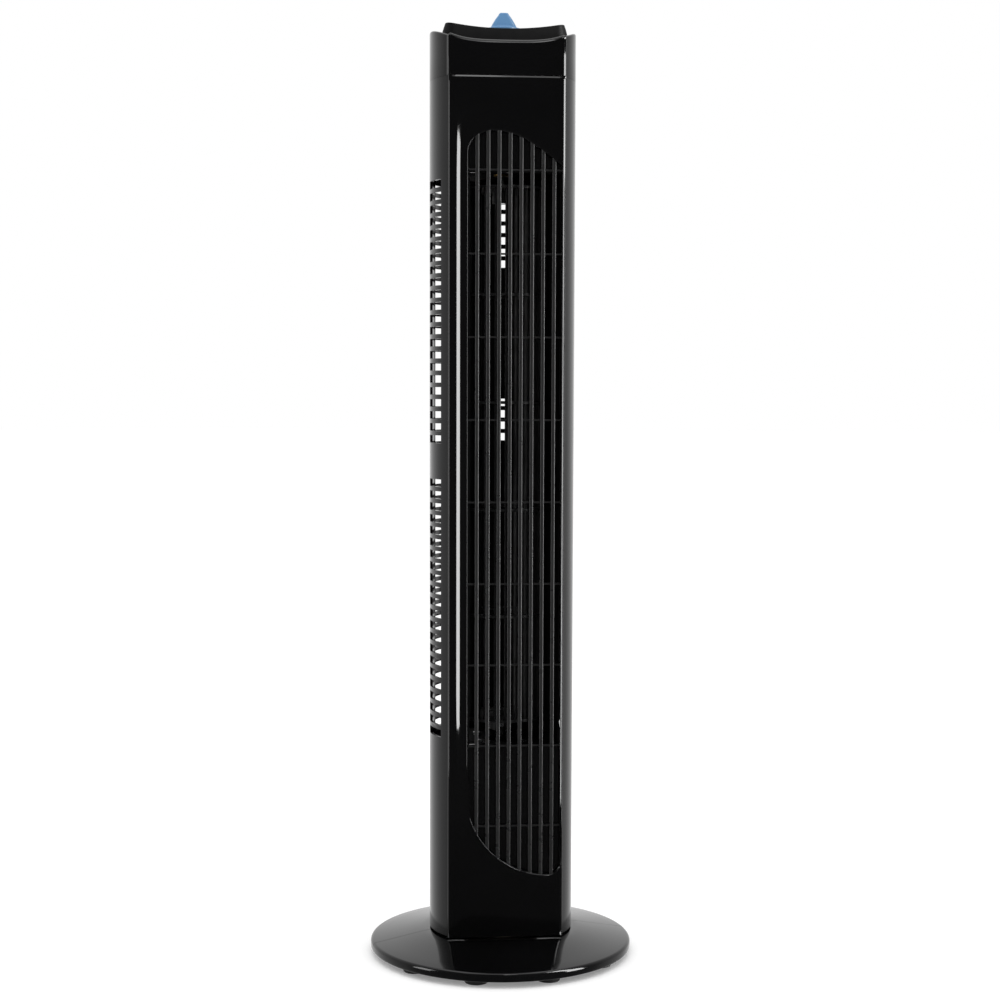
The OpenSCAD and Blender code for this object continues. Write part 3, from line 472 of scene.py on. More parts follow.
# a rounded edge in steps: share of its width outwards, depth behind the front
EDGE_PROFILE = [(0.03, 0.009), (0.07, 0.037), (0.45, 0.48), (0.80, 0.89), (0.90, 1.09), (0.97, 1.48),
                (1.0, 2.1)]
SEAM_PROFILE = [(0.03, 0.006), (0.08, 0.04), (0.12, 0.07), (0.90, 0.61), (0.94, 0.645), (0.98, 0.72),
                (1.0, 1.2)]
# the edges on the left and at the bottom are a plain round
ROUND_DEPTH = 2.2
ROUND_PROFILE = [(s, ROUND_DEPTH * (1 - c)) for s, c in quarter(len(EDGE_PROFILE))][1:]
# the panel's sides end this far ahead of the CAD panel's back
BACK_GAP = 0.1
# points of the flat front's outline from its right corners to where the recess meets the right edge, above
# and below, and how strongly they crowd towards the corner
ABOVE_MEETING, BELOW_MEETING, CROWDING = 3, 2, 4

# the recess's depth, the x where it comes up flush, and how far to the left it takes to get its full depth
DISH_DEPTH, DISH_FLUSH_X, DISH_SPAN = 2.05, 44.0, 85.0
# the recess's wall: its width where steep, what a soft one adds, and the most of the room to the right edge
STEEP_WIDTH, SOFT_EXTRA, WALL_ROOM = 3.6, 6.5, 0.6
# on the left side the wall is steep between two heights, fully soft below a third, and softens upwards
# by a share per millimetre
STEEP_ABOVE, STEEP_BELOW, SOFT_BELOW, TOP_SOFTENING = 208.0, 642.0, 138.0, 0.006
# across the wall from the recess's floor: share of its width inwards, share of the recess's depth
WALL_PROFILE = [(1.15, 1.0), (1.0, 0.985), (0.92, 0.94), (0.80, 0.82), (0.50, 0.50), (0.20, 0.18),
                (0.08, 0.06), (0.0, 0.012), (-0.12, 0.0)]
# the opening's lip: how far outside the opening, depth behind the recess's floor
LIP_PROFILE = [(0.0, 0.95), (0.04, 0.82), (0.10, 0.74), (0.80, 0.13), (0.88, 0.07), (1.0, 0.015),
               (1.3, 0.0)]
# depth of the lip's inner edge behind the front
LIP_BACK = 3.0


def wave(shape, grow=0.0):
    """The opening's or the recess's outline in x and z, moved outwards by grow."""
    left, right = shape["left"] - grow, shape["right"] + grow
    peak_x, peak = shape["peak"][0], shape["peak"][1] + grow
    low_x, low = shape["lowest"][0], shape["lowest"][1] - grow
    top_left, bottom_left = shape["top_left"], shape["bottom_left"]
    top_right, bottom_right = shape["top_right"] + grow, shape["bottom_right"] - grow
    rise = cubic((left, top_left), (left, top_left + LEFT_SHARE * (peak - top_left)),
                 (peak_x - PEAK_SHARE * (peak_x - left), peak), (peak_x, peak), CURVE_STEPS)
    fall = cubic((peak_x, peak), (peak_x + PEAK_HANDLE, peak),
                 (right - TOP_RIGHT_HANDLE[0], top_right + TOP_RIGHT_HANDLE[1]), (right, top_right),
                 CURVE_STEPS)
    down = [mix((right, top_right), (right, bottom_right), k / SIDE_STEPS) for k in range(SIDE_STEPS)]
    turn = cubic((right, bottom_right), (right, low + RIGHT_SHARE * (bottom_right - low)),
                 (low_x + LOWEST_SHARE * (right - low_x), low), (low_x, low), CURVE_STEPS)
    sweep = cubic((low_x, low), (low_x - LOWEST_HANDLE, low),
                  (left + BOTTOM_LEFT_HANDLE[0], bottom_left - BOTTOM_LEFT_HANDLE[1]), (left, bottom_left),
                  CURVE_STEPS)
    up = [mix((left, bottom_left), (left, top_left), k / SIDE_STEPS) for k in range(SIDE_STEPS)]
    return rise + fall + down + turn + sweep + up


def dish(x):
    """Depth of the recess at x: it is deepest on the left and comes up flush on the right."""
    return DISH_DEPTH * max(0.0, min(1.0, (DISH_FLUSH_X - x) / DISH_SPAN))


def wall_width(k, z):
    """Width of the recess's wall at point k of its outline, at height z."""
    if k >= LEFT_SIDE:
        soft = max(0.0, (STEEP_ABOVE - z) / (STEEP_ABOVE - SOFT_BELOW), (z - STEEP_BELOW) * TOP_SOFTENING)
    else:
        soft = (RECESS["top_left"] - STEEP_BELOW) * TOP_SOFTENING + k / CURVE_STEPS
    soft = min(1.0, soft)
    return STEEP_WIDTH + SOFT_EXTRA * soft * soft * (3 - 2 * soft)


def round_corner(a, corner, b, share):
    """A point on the way from a over a corner, at share 1, to b, at share 2."""
    return mix(a, corner, share) if share < 1 else mix(corner, b, share - 1)


def flat_outline(ring):
    """The flat front's rectangle, with one point for each of the ring round the recess.

    The ring's points on the right edge stay where they are.
    """
    on_edge = [touches(x, FLAT_RIGHT) for x, _ in ring]
    meets = next(k for k in range(PEAK_POINT, RIGHT_SIDE + 1) if on_edge[k])
    leaves = next(k for k in range(RIGHT_SIDE + SIDE_STEPS, LOWEST_POINT) if not on_edge[k]) - 1
    above_peak, below_lowest = (ring[PEAK_POINT][0], FLAT_TOP), (ring[LOWEST_POINT][0], FLAT_BOTTOM)
    made = list(ring)
    for k in range(CURVE_STEPS):
        share = 2 * k / CURVE_STEPS
        made[k] = round_corner((FLAT_LEFT, ring[0][1]), (FLAT_LEFT, FLAT_TOP), above_peak, share)
        made[LOWEST_POINT + k] = round_corner(below_lowest, (FLAT_LEFT, FLAT_BOTTOM),
                                              (FLAT_LEFT, ring[LEFT_SIDE][1]), share)
    corner = meets - ABOVE_MEETING
    for k in range(PEAK_POINT, meets):
        if k <= corner:
            share = (k - PEAK_POINT) / (corner - PEAK_POINT)
            made[k] = mix(above_peak, (FLAT_RIGHT, FLAT_TOP), share)
        else:
            share = ((k - corner) / ABOVE_MEETING) ** CROWDING
            made[k] = mix((FLAT_RIGHT, FLAT_TOP), (FLAT_RIGHT, ring[meets][1]), share)
    corner = leaves + BELOW_MEETING
    for k in range(leaves + 1, LOWEST_POINT):
        if k <= corner:
            share = 1 - (1 - (k - leaves) / BELOW_MEETING) ** CROWDING
            made[k] = mix((FLAT_RIGHT, ring[leaves][1]), (FLAT_RIGHT, FLAT_BOTTOM), share)
        else:
            share = (k - corner) / (LOWEST_POINT - corner)
            made[k] = mix((FLAT_RIGHT, FLAT_BOTTOM), below_lowest, share)
    for k in range(LEFT_SIDE, POINT_COUNT):
        made[k] = (FLAT_LEFT, ring[k][1])
    return made


def edge_step(x, z, step):
    """Where the rounded edge leads from a point of the flat front's outline in its given step."""
    left, right = touches(x, FLAT_LEFT), touches(x, FLAT_RIGHT)
    top, bottom = touches(z, FLAT_TOP), touches(z, FLAT_BOTTOM)
    profile = EDGE_PROFILE if right else SEAM_PROFILE if top and not left else ROUND_PROFILE
    out, behind = profile[step]
    dx = -EDGE_LEFT * out if left else EDGE_RIGHT * out if right else 0.0
    dz = EDGE_TOP * out if top else -EDGE_BOTTOM * out if bottom else 0.0
    return x + dx, FRONT + behind, z + dz


def front_panel():
    def lip(grow, depth):
        return [(min(x, FLAT_RIGHT), FRONT + depth(min(x, FLAT_RIGHT)), z) for x, z in wave(OPENING, grow)]

    rings = [lip(0.0, lambda x: LIP_BACK)]
    for grow, behind in LIP_PROFILE:
        rings.append(lip(grow, lambda x: dish(x) + behind))
    outer, inner = wave(RECESS), wave(RECESS, -1.0)
    for inwards, fall in WALL_PROFILE:
        ring = []
        for k, (x, z) in enumerate(outer):
            if x < FLAT_RIGHT:
                dx, dz = inner[k][0] - x, inner[k][1] - z
                room = WALL_ROOM * (FLAT_RIGHT - x) + WALL_ROOM
                step = inwards * min(wall_width(k, z), room) / (math.hypot(dx, dz) or 1.0)
                x, z = x + dx * step, z + dz * step
            x = min(x, FLAT_RIGHT)
            ring.append((x, FRONT + dish(x) * fall, z))
        rings.append(ring)
    flat = flat_outline([(x, z) for x, _, z in rings[-1]])
    rings.append([(x, FRONT, z) for x, z in flat])
    for step in range(len(EDGE_PROFILE)):
        rings.append([edge_step(x, z, step) for x, z in flat])
    rings.append([(x, PANEL_HIGH[1] - BACK_GAP, z) for x, _, z in rings[-1]])
    solid = Solid()
    solid.rings(rings)
    solid.build("front_panel_shell", "tower", "gloss_black", "front_panel", angle=50, thickness=1.3)


# ---------------------------------------------------------------- grille

BAR_COUNT, FIRST_BAR_X, BAR_PITCH, BAR_HALF, BAR_STEPS = 8, -23.9, 8.9, 1.65, 12
RIB_COUNT, TOP_RIB_Z, RIB_PITCH = 9, 651.0, 67.0
GRILLE_LOW, GRILLE_HIGH = box_mm("outlet_grille")
BAR_FRONT, BAR_BACK, RIB_BACK = GRILLE_LOW[1] + 0.25, GRILLE_LOW[1] + 3.3, GRILLE_HIGH[1]
# half a bar's section: share of its half width, distance behind its front
BAR_DEPTH = BAR_BACK - BAR_FRONT
BAR_SECTION = [(0.2, 0.0), (0.55, 0.08), (0.80, 0.26), (0.93, 0.55), (0.97, 0.95), (0.86, BAR_DEPTH)]
# half a rib's section: y, distance from its middle
RIB_SECTION = [(BAR_BACK - 0.7, 0.2), (BAR_BACK - 0.55, 0.6), (BAR_BACK - 0.1, 0.8), (RIB_BACK, 0.7)]
# how far outside the opening: a bar's front, its back and the ribs, the flange's inner and outer edge
FRONT_REACH, BACK_REACH, FLANGE_IN, FLANGE_OUT = 0.9, 1.5, 0.15, 2.8
FLANGE_FRONT, FLANGE_BACK = FRONT + LIP_BACK + 0.1, FRONT + 4.5
# on the right, the flange's outer edge, the ribs and the flange's inner edge end inside the panel's side
FLANGE_RIGHT, RIB_RIGHT, FLANGE_RIGHT_IN = [PANEL_HIGH[0] - inside for inside in (1.9, 2.2, 2.5)]


def crossings(place, axis, grow):
    """Ends of the line that the opening's outline cuts off at an x (axis 0) or a z (axis 1)."""
    ring = wave(OPENING, grow)
    found = []
    for a, b in zip(ring, ring[1:] + ring[:1]):
        if (a[axis] - place) * (b[axis] - place) <= 0 and a[axis] != b[axis]:
            share = (place - a[axis]) / (b[axis] - a[axis])
            found.append(a[1 - axis] + (b[1 - axis] - a[1 - axis]) * share)
    return min(found), max(found)


def outlet_grille():
    solid = Solid()
    inner, outer = wave(OPENING, FLANGE_IN), wave(OPENING, FLANGE_OUT)
    flange = [(inner, FLANGE_RIGHT_IN, FLANGE_FRONT), (inner, FLANGE_RIGHT_IN, FLANGE_BACK),
              (outer, FLANGE_RIGHT, FLANGE_BACK), (outer, FLANGE_RIGHT, FLANGE_FRONT),
              (inner, FLANGE_RIGHT_IN, FLANGE_FRONT)]
    solid.rings([[(min(x, limit), y, z) for x, z in outline] for outline, limit, y in flange])
    bar = [(-share, behind) for share, behind in reversed(BAR_SECTION)] + BAR_SECTION
    for i in range(BAR_COUNT):
        lower, upper = [], []
        for share, behind in bar:
            x = FIRST_BAR_X + i * BAR_PITCH + share * BAR_HALF
            bottom, top = crossings(x, 0, BACK_REACH if behind == BAR_DEPTH else FRONT_REACH)
            lower.append((x, BAR_FRONT + behind, bottom))
            upper.append((x, BAR_FRONT + behind, top))
        levels = [k / BAR_STEPS for k in range(BAR_STEPS + 1)]
        solid.rings([[mix(a, b, level) for a, b in zip(lower, upper)] for level in levels], ends=True)
    rib = [(y, -off) for y, off in reversed(RIB_SECTION)] + RIB_SECTION
    for i in range(RIB_COUNT):
        z = TOP_RIB_Z - i * RIB_PITCH
        left, right = crossings(z, 1, BACK_REACH)
        solid.rings([[(x, y, z + off) for y, off in rib] for x in (left, min(right, RIB_RIGHT))], ends=True)
    solid.build("outlet_grille_bars", "tower", "grille_black", "outlet_grille", angle=45)


# ---------------------------------------------------------------- top cap

BODY_R = box_mm("rear_housing")[1][1]
SEAM_Z, SEAT_Y = PANEL_HIGH[2], PANEL_HIGH[1]
CAP_DIP, CAP_RISE, CAP_FILLET = 754.0, 13.8, 4.2
ARC_STEPS, CAP_FRONT_STEPS = 120, 40
LEFT_CORNER_R = 0.8
# the cap's lower edge is rounded off slightly: distance inwards, height above the seam
CAP_LOW_EDGE = [(1.6, 0.1), (0.35, 0.1), (0.10, 0.22)]
CAP_WALL_LOW = SEAM_Z + 0.5
# the cap's top from its fillet to the control panel: share of the way, drop below the rim's height
CAP_TOP = [(0.33, 0.0), (0.66, 0.0), (0.94, 0.0), (1.0, 0.25)]
# the ledge under the control panel: its depth, the inner edge's share of the outer
LEDGE_DROP, LEDGE_SHARE = 1.1, 0.86

INSERT_LOW, INSERT_HIGH = box_mm("control_panel")
INSERT_R, INSERT_FRONT, INSERT_CORNER = INSERT_HIGH[0], INSERT_LOW[1], 9.0
INSERT_MID_X, INSERT_MID_Y = INSERT_R - INSERT_CORNER, INSERT_FRONT + INSERT_CORNER
# between the control panel and the cap's inner edge
INSERT_GAP = 0.35


def rim(x):
    """Height of the cap's top at x: nearly level in the middle, steep at the sides."""
    return CAP_DIP + CAP_RISE * (abs(x) / BODY_R) ** 4


def tower_outline():
    """Plan of the cap: the round body with the panel's block ahead of it, anticlockwise from the right."""
    half = PANEL_HIGH[0]
    seat = math.degrees(math.asin(-SEAT_Y / BODY_R))
    ring = [(half, SEAT_Y)]
    for k in range(1, ARC_STEPS):
        a = math.radians(-seat + (180 + 2 * seat) * k / ARC_STEPS)
        ring.append((BODY_R * math.cos(a), BODY_R * math.sin(a)))
    # an extra point close to each end of the straight sides keeps their shading even
    ring += [(-half, SEAT_Y), (-half, SEAT_Y - 2), (-half, FRONT + 2.4)]
    ring += [(-half + LEFT_CORNER_R * (1 - c), FRONT + LEFT_CORNER_R * (1 - s)) for s, c in quarter(5)]
    ring += [mix((FLAT_LEFT, FRONT), (FLAT_RIGHT, FRONT), k / CAP_FRONT_STEPS)
             for k in range(CAP_FRONT_STEPS + 1)]
    ring += [(FLAT_RIGHT + EDGE_RIGHT * out, FRONT + behind) for out, behind in EDGE_PROFILE]
    ring += [(half, FRONT + 2.6), (half, SEAT_Y - 2)]
    return ring


def insert_point(x, y):
    """Where the line from the axis through (x, y) ends, just outside the control panel's outline."""
    a = math.atan2(y, x)
    c, s = math.cos(a), math.sin(a)
    reach = INSERT_R + INSERT_GAP
    if s < 0:
        reach = min(reach / max(abs(c), 1e-6), (-INSERT_FRONT + INSERT_GAP) / -s)
        if reach * abs(c) > INSERT_MID_X and reach * s < INSERT_MID_Y:
            along = abs(c) * INSERT_MID_X + s * INSERT_MID_Y
            reach = along + math.sqrt(along * along - INSERT_MID_X * INSERT_MID_X
                                      - INSERT_MID_Y * INSERT_MID_Y
                                      + (INSERT_CORNER + INSERT_GAP) ** 2)
    return reach * c, reach * s


def top_cap():
    # each point of the outline with its direction inwards and its goal beside the control panel
    plan = []
    for x, y in tower_outline():
        goal_x, goal_y = insert_point(x, y)
        size = math.hypot(goal_x - x, goal_y - y)
        plan.append((x, y, (goal_x - x) / size, (goal_y - y) / size, goal_x, goal_y))
    rings = [[(x + u * inwards, y + v * inwards, SEAM_Z + up) for x, y, u, v, _, _ in plan]
             for inwards, up in CAP_LOW_EDGE]
    for share in (0.0, 0.5, 1.0):
        rings.append([(x, y, CAP_WALL_LOW + (rim(x) - CAP_FILLET - CAP_WALL_LOW) * share)
                      for x, y, _, _, _, _ in plan])
    for s, c in quarter(7)[1:]:
        ring = []
        for x, y, u, v, _, _ in plan:
            px, py = x + u * CAP_FILLET * (1 - c), y + v * CAP_FILLET * (1 - c)
            ring.append((px, py, rim(px) - CAP_FILLET * (1 - s)))
        rings.append(ring)
    for share, drop in CAP_TOP:
        ring = []
        for x, y, u, v, goal_x, goal_y in plan:
            px, py = mix((x + u * CAP_FILLET, y + v * CAP_FILLET), (goal_x, goal_y), share)
            ring.append((px, py, rim(px) - drop))
        rings.append(ring)
    for share in (1.0, LEDGE_SHARE):
        rings.append([(goal_x * share, goal_y * share, rim(goal_x) - LEDGE_DROP)
                      for _, _, _, _, goal_x, goal_y in plan])
    solid = Solid()
    solid.rings(rings)
    solid.build("top_cap_shell", "tower", "gloss_black", "top_cap", angle=50, thickness=1.9)


# ---------------------------------------------------------------- control panel

SADDLE_DIP, SADDLE_R = 765.1, 262.0
# how far the sides and the front lean in, the power of the lean's curve, how far the wall's foot is sunk
# in the cap, and the fillet round the top
SIDE_DRAFT, FRONT_DRAFT, LEAN_POWER, INSERT_SUNK, INSERT_FILLET = 2.4, 0.6, 1.3, 0.8, 0.6
INSERT_BACK_STEPS, INSERT_SIDE_STEPS, INSERT_CORNER_STEPS, INSERT_FRONT_STEPS = 90, 6, 12, 40
WELL_R = 18.6
# the knob's well: radius and depth of its rounded rim, and of its level floor
WELL_RIM = [(WELL_R, 0.0), (18.2, 0.25)]
WELL_FLOOR = [(17.9, 0.7), (17.7, 0.8), (4.5, 0.8)]
WELL_TOP = SADDLE_DIP + 0.75

BUTTON_LOW, BUTTON_HIGH = box_mm("swing_button")
BUTTON_X = (BUTTON_LOW[0] + BUTTON_HIGH[0]) / 2
BUTTON_R = (BUTTON_HIGH[0] - BUTTON_LOW[0]) / 2
HOLE_GAP, HOLE_LOW, HOLE_HIGH = 0.4, 740, 790
# directions of the speed marks from the knob, in degrees
FIRST_MARK, MARK_STEP, MARK_COUNT = 90, 45, 4


def saddle(x):
    """Height of the control panel's top at x."""
    return SADDLE_DIP + SADDLE_R - math.sqrt(SADDLE_R * SADDLE_R - x * x)


def insert_outline():
    """The control panel's outline, anticlockwise from the right: x, y and the direction outwards."""
    points = []
    for k in range(INSERT_BACK_STEPS):
        c, s = math.cos(math.pi * k / INSERT_BACK_STEPS), math.sin(math.pi * k / INSERT_BACK_STEPS)
        points.append((INSERT_R * c, INSERT_R * s, c, s))
    points += [(-INSERT_R, INSERT_MID_Y * k / INSERT_SIDE_STEPS, -1.0, 0.0)
               for k in range(INSERT_SIDE_STEPS)]
    for side, first in ((-1, math.pi), (1, 1.5 * math.pi)):
        for k in range(INSERT_CORNER_STEPS + 1):
            a = first + k * math.pi / (2 * INSERT_CORNER_STEPS)
            c, s = math.cos(a), math.sin(a)
            x, y = side * INSERT_MID_X + INSERT_CORNER * c, INSERT_MID_Y + INSERT_CORNER * s
            points.append((x, y, c, s))
        if side < 0:
            points += [(INSERT_MID_X * (2 * k / INSERT_FRONT_STEPS - 1), INSERT_FRONT, 0.0, -1.0)
                       for k in range(1, INSERT_FRONT_STEPS)]
    points += [(INSERT_R, INSERT_MID_Y * (1 - k / INSERT_SIDE_STEPS), 1.0, 0.0)
               for k in range(1, INSERT_SIDE_STEPS)]
    return points


def control_panel():
    plan = insert_outline()
    rings = []
    for share in (0.0, 0.35, 0.7, 1.0):
        ring = []
        for x, y, u, v in plan:
            lean = share ** LEAN_POWER
            px, py = x - u * SIDE_DRAFT * lean, y - v * FRONT_DRAFT * lean
            foot = rim(x) - INSERT_SUNK
            ring.append((px, py, foot + (saddle(px) - INSERT_FILLET - foot) * share))
        rings.append(ring)
    for s, c in quarter(6)[1:]:
        ring = []
        for x, y, u, v in plan:
            px = x - u * (SIDE_DRAFT + INSERT_FILLET * (1 - c))
            py = y - v * (FRONT_DRAFT + INSERT_FILLET * (1 - c))
            ring.append((px, py, saddle(px) - INSERT_FILLET * (1 - s)))
        rings.append(ring)
    angles = [math.atan2(y, x) for x, y, _, _ in plan]
    for share in (0.12, 0.3, 0.5, 0.7, 0.88):
        ring = []
        for a, (x, y, u, v) in zip(angles, plan):
            px = (x - u * (SIDE_DRAFT + INSERT_FILLET)) * (1 - share) + WELL_R * math.cos(a) * share
            py = (y - v * (FRONT_DRAFT + INSERT_FILLET)) * (1 - share) + WELL_R * math.sin(a) * share
            ring.append((px, py, saddle(px)))
        rings.append(ring)
    for r, drop in WELL_RIM:
        rings.append([(r * math.cos(a), r * math.sin(a), saddle(r * math.cos(a)) - drop) for a in angles])
    for r, drop in WELL_FLOOR:
        rings.append([(r * math.cos(a), r * math.sin(a), WELL_TOP - drop) for a in angles])
    solid = Solid()
    solid.rings(rings)
    panel = solid.build("control_panel_insert", "tower", "insert_black", "control_panel", angle=50,
                        thickness=1.8)
    hole_r = BUTTON_R + HOLE_GAP
    hole = Solid()
    hole.lathe([(0, HOLE_LOW), (hole_r, HOLE_LOW), (hole_r, HOLE_HIGH), (0, HOLE_HIGH)], (BUTTON_X, 0), 64)
    cutter = hole.build("button_hole", "tower", "insert_black")
    cut = panel.modifiers.new("button hole", "BOOLEAN")
    cut.object = cutter
    cut.solver = "EXACT"
    settle(panel)
    bpy.data.objects.remove(cutter)


def button_rim():
    """Raised ring round the swing button."""
    inner, outer, count = BUTTON_R + 0.45, BUTTON_R + 1.9, 72
    section = [(inner, -1.2), (inner, 0.35), (inner + 0.25, 0.62), (outer - 0.45, 0.62),
               (outer - 0.1, 0.35), (outer, -1.2)]
    rings = []
    for r, up in section + section[:1]:
        ring = []
        for k in range(count):
            x, y = BUTTON_X + r * math.cos(k * math.tau / count), r * math.sin(k * math.tau / count)
            ring.append((x, y, saddle(x) + up))
        rings.append(ring)
    solid = Solid()
    solid.rings(rings)
    solid.build("swing_button_rim", "tower", "insert_black", angle=45)


def speed_marks():
    """Short raised ticks beside the knob, one for each setting."""
    near, far, half, point, bottom, top = 21.0, 24.5, 0.5, 0.4, -0.4, 0.22
    tick = [(near, -half), (far, -half), (far + point, 0.0), (far, half), (near, half), (near - point, 0.0)]
    solid = Solid()
    for k in range(MARK_COUNT):
        a = math.radians(FIRST_MARK + k * MARK_STEP)
        c, s = math.cos(a), math.sin(a)
        outline = [(along * c - across * s, along * s + across * c) for along, across in tick]
        solid.rings([[(x, y, saddle(x) + up) for x, y in outline] for up in (bottom, top)], ends=True)
    solid.build("speed_marks", "tower", "gear_ivory", angle=30, bevel=0.08)


# ---------------------------------------------------------------- knob and button

KNOB_LOW, KNOB_HIGH = box_mm("speed_knob")
KNOB_R, KNOB_BOTTOM, KNOB_TOP = KNOB_HIGH[0], KNOB_LOW[2], KNOB_HIGH[2]
SKIRT_Z, SKIRT_ROUND, KNOB_STEPS = KNOB_BOTTOM + 1.6, 0.6, 128
KNOB_BORE_R, KNOB_BORE_DEPTH = 3.0, 5.6
# the grip: half sizes at its foot, half width of its ridge, how much shorter its top is, and how much its
# sides bulge
GRIP_X, GRIP_Y, RIDGE_X, GRIP_TAPER, GRIP_BULGE = 10.6, 13.6, 4.0, 1.9, 0.45
# the fillet at the grip's foot, in height, x and y, and the rounding of its ridge
GRIP_FOOT, GRIP_FOOT_X, GRIP_FOOT_Y, RIDGE_ROUND = 0.7, 0.7, 0.5, 0.9


def rounded(half_x, half_y, power, count):
    """Superellipse: a rectangle with rounded corners, squarer the higher the power."""
    ring = []
    for k in range(count):
        c, s = math.cos(k * math.tau / count), math.sin(k * math.tau / count)
        x, y = math.copysign(abs(c) ** (2 / power), c), math.copysign(abs(s) ** (2 / power), s)
        ring.append((half_x * x, half_y * y))
    return ring


def speed_knob():
    def circle(r, z):
        return [(r * math.cos(k * math.tau / KNOB_STEPS), r * math.sin(k * math.tau / KNOB_STEPS), z)
                for k in range(KNOB_STEPS)]

    def grip(half_x, half_y, z):
        return [(x, y, z) for x, y in rounded(half_x, half_y, 6.0, KNOB_STEPS)]

    side_r, side_z = KNOB_R - 0.1, SKIRT_Z - SKIRT_ROUND
    rings = [circle(KNOB_BORE_R, KNOB_BOTTOM + KNOB_BORE_DEPTH), circle(KNOB_BORE_R, KNOB_BOTTOM + 0.3),
             circle(KNOB_BORE_R + 0.3, KNOB_BOTTOM), circle(KNOB_R - 0.4, KNOB_BOTTOM),
             circle(side_r, KNOB_BOTTOM + 0.12), circle(KNOB_R, KNOB_BOTTOM + 0.4), circle(side_r, side_z)]
    rings += [circle(side_r - SKIRT_ROUND * (1 - c), side_z + SKIRT_ROUND * s) for s, c in quarter(5)[1:]]
    rings += [grip(GRIP_X + GRIP_FOOT_X * (1 - s), GRIP_Y + GRIP_FOOT_Y * (1 - s), SKIRT_Z + GRIP_FOOT * s)
              for s, _ in quarter(4)]
    foot_z, ridge_z = SKIRT_Z + GRIP_FOOT, KNOB_TOP - RIDGE_ROUND
    for k in range(1, 9):
        share = k / 8
        bulge = GRIP_BULGE * math.sin(math.pi * share)
        rings.append(grip(GRIP_X - (GRIP_X - RIDGE_X) * share + bulge, GRIP_Y - GRIP_TAPER * share,
                          foot_z + (ridge_z - foot_z) * share))
    rings += [grip(RIDGE_X - RIDGE_ROUND * (1 - c), GRIP_Y - GRIP_TAPER - RIDGE_ROUND * (1 - c),
                   ridge_z + RIDGE_ROUND * s) for s, c in quarter(5)[1:]]
    rings.append(grip(0.5, 8.0, KNOB_TOP))
    solid = Solid()
    solid.rings(rings, ends=True)
    solid.build("speed_knob_grip", "knob", "knob_blue", "speed_knob", angle=42)


def knob_pointer():
    """Pale line inlaid along the front half of the grip's ridge."""
    middle_y = -7.0
    outline = rounded(0.55, 3.6, 5.0, 32)
    rings = [[(x, y + middle_y, KNOB_TOP - 0.6) for x, y in outline],
             [(x, y + middle_y, KNOB_TOP + 0.04) for x, y in outline],
             [(x * 0.8, y * 0.97 + middle_y, KNOB_TOP + 0.1) for x, y in outline]]
    solid = Solid()
    solid.rings(rings, ends=True)
    solid.build("knob_pointer", "knob", "gear_ivory", angle=30)


def swing_button():
    bottom, top, stem_r, skirt_depth, edge_round = BUTTON_LOW[2], BUTTON_HIGH[2], 2.0, 9, 1.1
    profile = [(0, bottom), (stem_r - 0.3, bottom), (stem_r, bottom + 0.3), (stem_r, top - skirt_depth),
               (BUTTON_R - 0.2, top - skirt_depth), (BUTTON_R, top - skirt_depth + 0.2)]
    profile += [(BUTTON_R - edge_round * (1 - c), top - 1.5 + edge_round * s) for s, c in quarter(6)]
    # the top is dished for the finger
    profile += [(4.2, top - 0.28), (3.4, top - 0.55), (2.0, top - 0.8), (0, top - 0.9)]
    solid = Solid()
    solid.lathe(profile, (BUTTON_X, 0), 72)
    solid.build("swing_button_cap", "button", "knob_blue", "swing_button", angle=50)


# ---------------------------------------------------------------- foot

FOOT_R = box_mm("foot_front_half")[1][0]
FOOT_TOP = box_mm("foot_rear_half")[1][2]
RIM_LOW = 5.0
BORE_R, FLAT_R, SLOPE = 20.4, 62.0, 0.187
# half length of the bend between the flat middle and the slope
BEND, BEND_STEPS = 6, 6
# radius of the rounded upper edge, and how far inside the rim it starts
EDGE_ROUND, EDGE_IN = 2.9, 2.6
# height of the plate's underside at the bore, and where sockets and ribs end inside the plate at the rim
PLATE_UNDER, RIM_TOP = FOOT_TOP - 2.5, 12.4
# direction of the joint between the halves, and how far each half stands back from it
JOINT_ANGLE, JOINT_BACK = 8.5, 0.09
PAD_RING_R, PAD_COUNT, FIRST_PAD = 94.5, 10, 1.0
RIB_INNER_R, RIB_OUTER_R, RIB_LOW, RIB_HALF = 38.5, 103.5, 9.0, 1
# sockets and ribs closer to the joint than this, in degrees, are left out
SOCKET_CLEAR, RIB_CLEAR = 7, 4


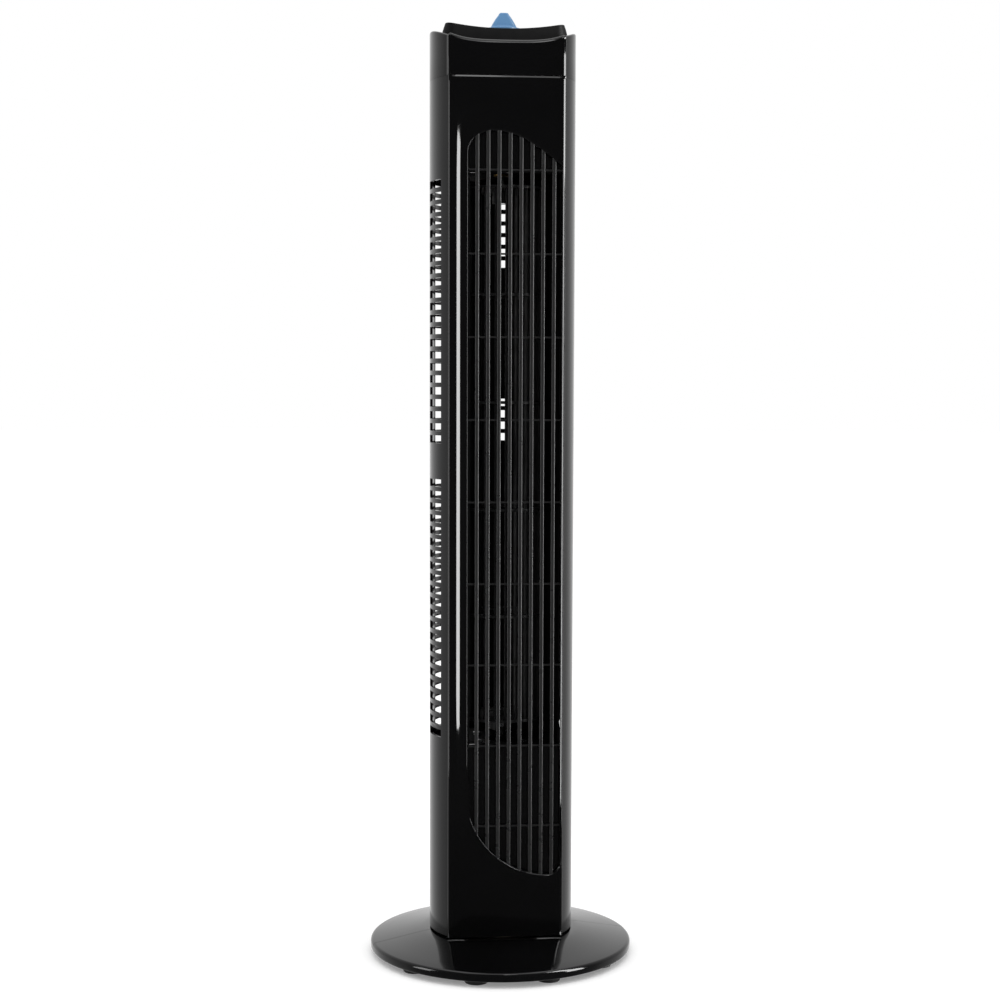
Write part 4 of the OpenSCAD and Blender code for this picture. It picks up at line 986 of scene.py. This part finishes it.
def foot_profile():
    """Outside from the bore to the rim's lower edge, then back along the underside."""
    bend_start = FLAT_R - BEND
    outside = [(BORE_R, FOOT_TOP - 0.3), (BORE_R + 0.3, FOOT_TOP), (40, FOOT_TOP), (bend_start, FOOT_TOP)]
    for k in range(1, BEND_STEPS + 1):
        t = k / BEND_STEPS
        outside.append((bend_start + 2 * BEND * t, FOOT_TOP - SLOPE * BEND * t * t))
    bend_end = outside[-1]
    slope_end_r = FOOT_R - EDGE_IN
    slope_end_z = bend_end[1] - SLOPE * (slope_end_r - bend_end[0])
    outside += [mix(bend_end, (slope_end_r, slope_end_z), share) for share in (0.25, 0.5, 0.75, 1.0)]
    tilt = math.atan(SLOPE)
    centre_r = slope_end_r - EDGE_ROUND * math.sin(tilt)
    centre_z = slope_end_z - EDGE_ROUND * math.cos(tilt)
    reach = FOOT_R - (centre_r + EDGE_ROUND)
    outside += [(centre_r + EDGE_ROUND * s + reach * (s - math.sin(tilt)), centre_z + EDGE_ROUND * c)
                for s, c in quarter(8, math.degrees(tilt), 88)[1:]]
    outside += [(FOOT_R, 7.0), (FOOT_R - 0.05, RIM_LOW + 0.7), (FOOT_R - 0.35, RIM_LOW + 0.2),
                (FOOT_R - 0.8, RIM_LOW)]
    inside = [(FOOT_R - 2.0, RIM_LOW), (FOOT_R - 2.4, RIM_LOW + 0.4), (FOOT_R - 2.5, slope_end_z - 4.2),
              (FOOT_R - 5.0, slope_end_z - 2.0), (FLAT_R, FOOT_TOP - 2.7), (BORE_R, PLATE_UNDER)]
    return outside + inside


def foot_half(name, node, start):
    """Half of the foot, from an angle on, with sockets for the pads and ribs between them."""
    solid = Solid()
    solid.lathe(foot_profile(), (0, 0), 120, start, 180.0)
    across = math.radians(start + 90)
    solid.points = [(x + JOINT_BACK * math.cos(across), y + JOINT_BACK * math.sin(across), z)
                    for x, y, z in solid.points]
    socket = [(8.0, RIM_LOW + 0.02), (10.3, RIM_LOW + 0.02), (10.5, RIM_LOW + 0.3), (10.5, RIM_TOP),
              (8.0, RIM_TOP)]
    rib = [(RIB_INNER_R, RIB_LOW), (RIB_OUTER_R, RIB_LOW), (RIB_OUTER_R, RIM_TOP),
           (RIB_INNER_R, PLATE_UNDER)]
    for k in range(PAD_COUNT):
        pad = FIRST_PAD + k * 360 / PAD_COUNT
        if SOCKET_CLEAR < (pad - start) % 360 < 180 - SOCKET_CLEAR:
            c, s = math.cos(math.radians(pad)), math.sin(math.radians(pad))
            solid.lathe(socket, (PAD_RING_R * c, PAD_RING_R * s), 40)
        between = pad + 180 / PAD_COUNT
        if RIB_CLEAR < (between - start) % 360 < 180 - RIB_CLEAR:
            c, s = math.cos(math.radians(between)), math.sin(math.radians(between))
            sides = [[(r * c - w * s, r * s + w * c, z) for r, z in rib] for w in (-RIB_HALF, RIB_HALF)]
            solid.rings(sides, ends=True)
    solid.build(name, "foot", "gloss_foot", node, angle=40, bevel=0.22)


def rubber_feet():
    """Round pads with two raised rings underneath."""
    profile = [(0, 0.25), (3.2, 0.25), (3.6, 0.0), (4.4, 0.0), (4.8, 0.25), (6.0, 0.25), (6.4, 0.0),
               (8.4, 0.0), (9.1, 0.25), (9.4, 0.8), (9.5, 1.6), (9.5, 4.7), (9.2, RIM_LOW), (0, RIM_LOW)]
    solid = Solid()
    for k in range(PAD_COUNT):
        a = math.radians(FIRST_PAD + k * 360 / PAD_COUNT)
        solid.lathe(profile, (PAD_RING_R * math.cos(a), PAD_RING_R * math.sin(a)), 48)
    solid.build("rubber_pads", "foot", "rubber", "rubber_feet", angle=45)


# ---------------------------------------------------------------- the pieces

front_panel()
outlet_grille()
top_cap()
control_panel()
button_rim()
speed_marks()
speed_knob()
knob_pointer()
swing_button()
foot_half("foot_front_shell", "foot_front_half", JOINT_ANGLE + 180)
foot_half("foot_rear_shell", "foot_rear_half", JOINT_ANGLE)
rubber_feet()
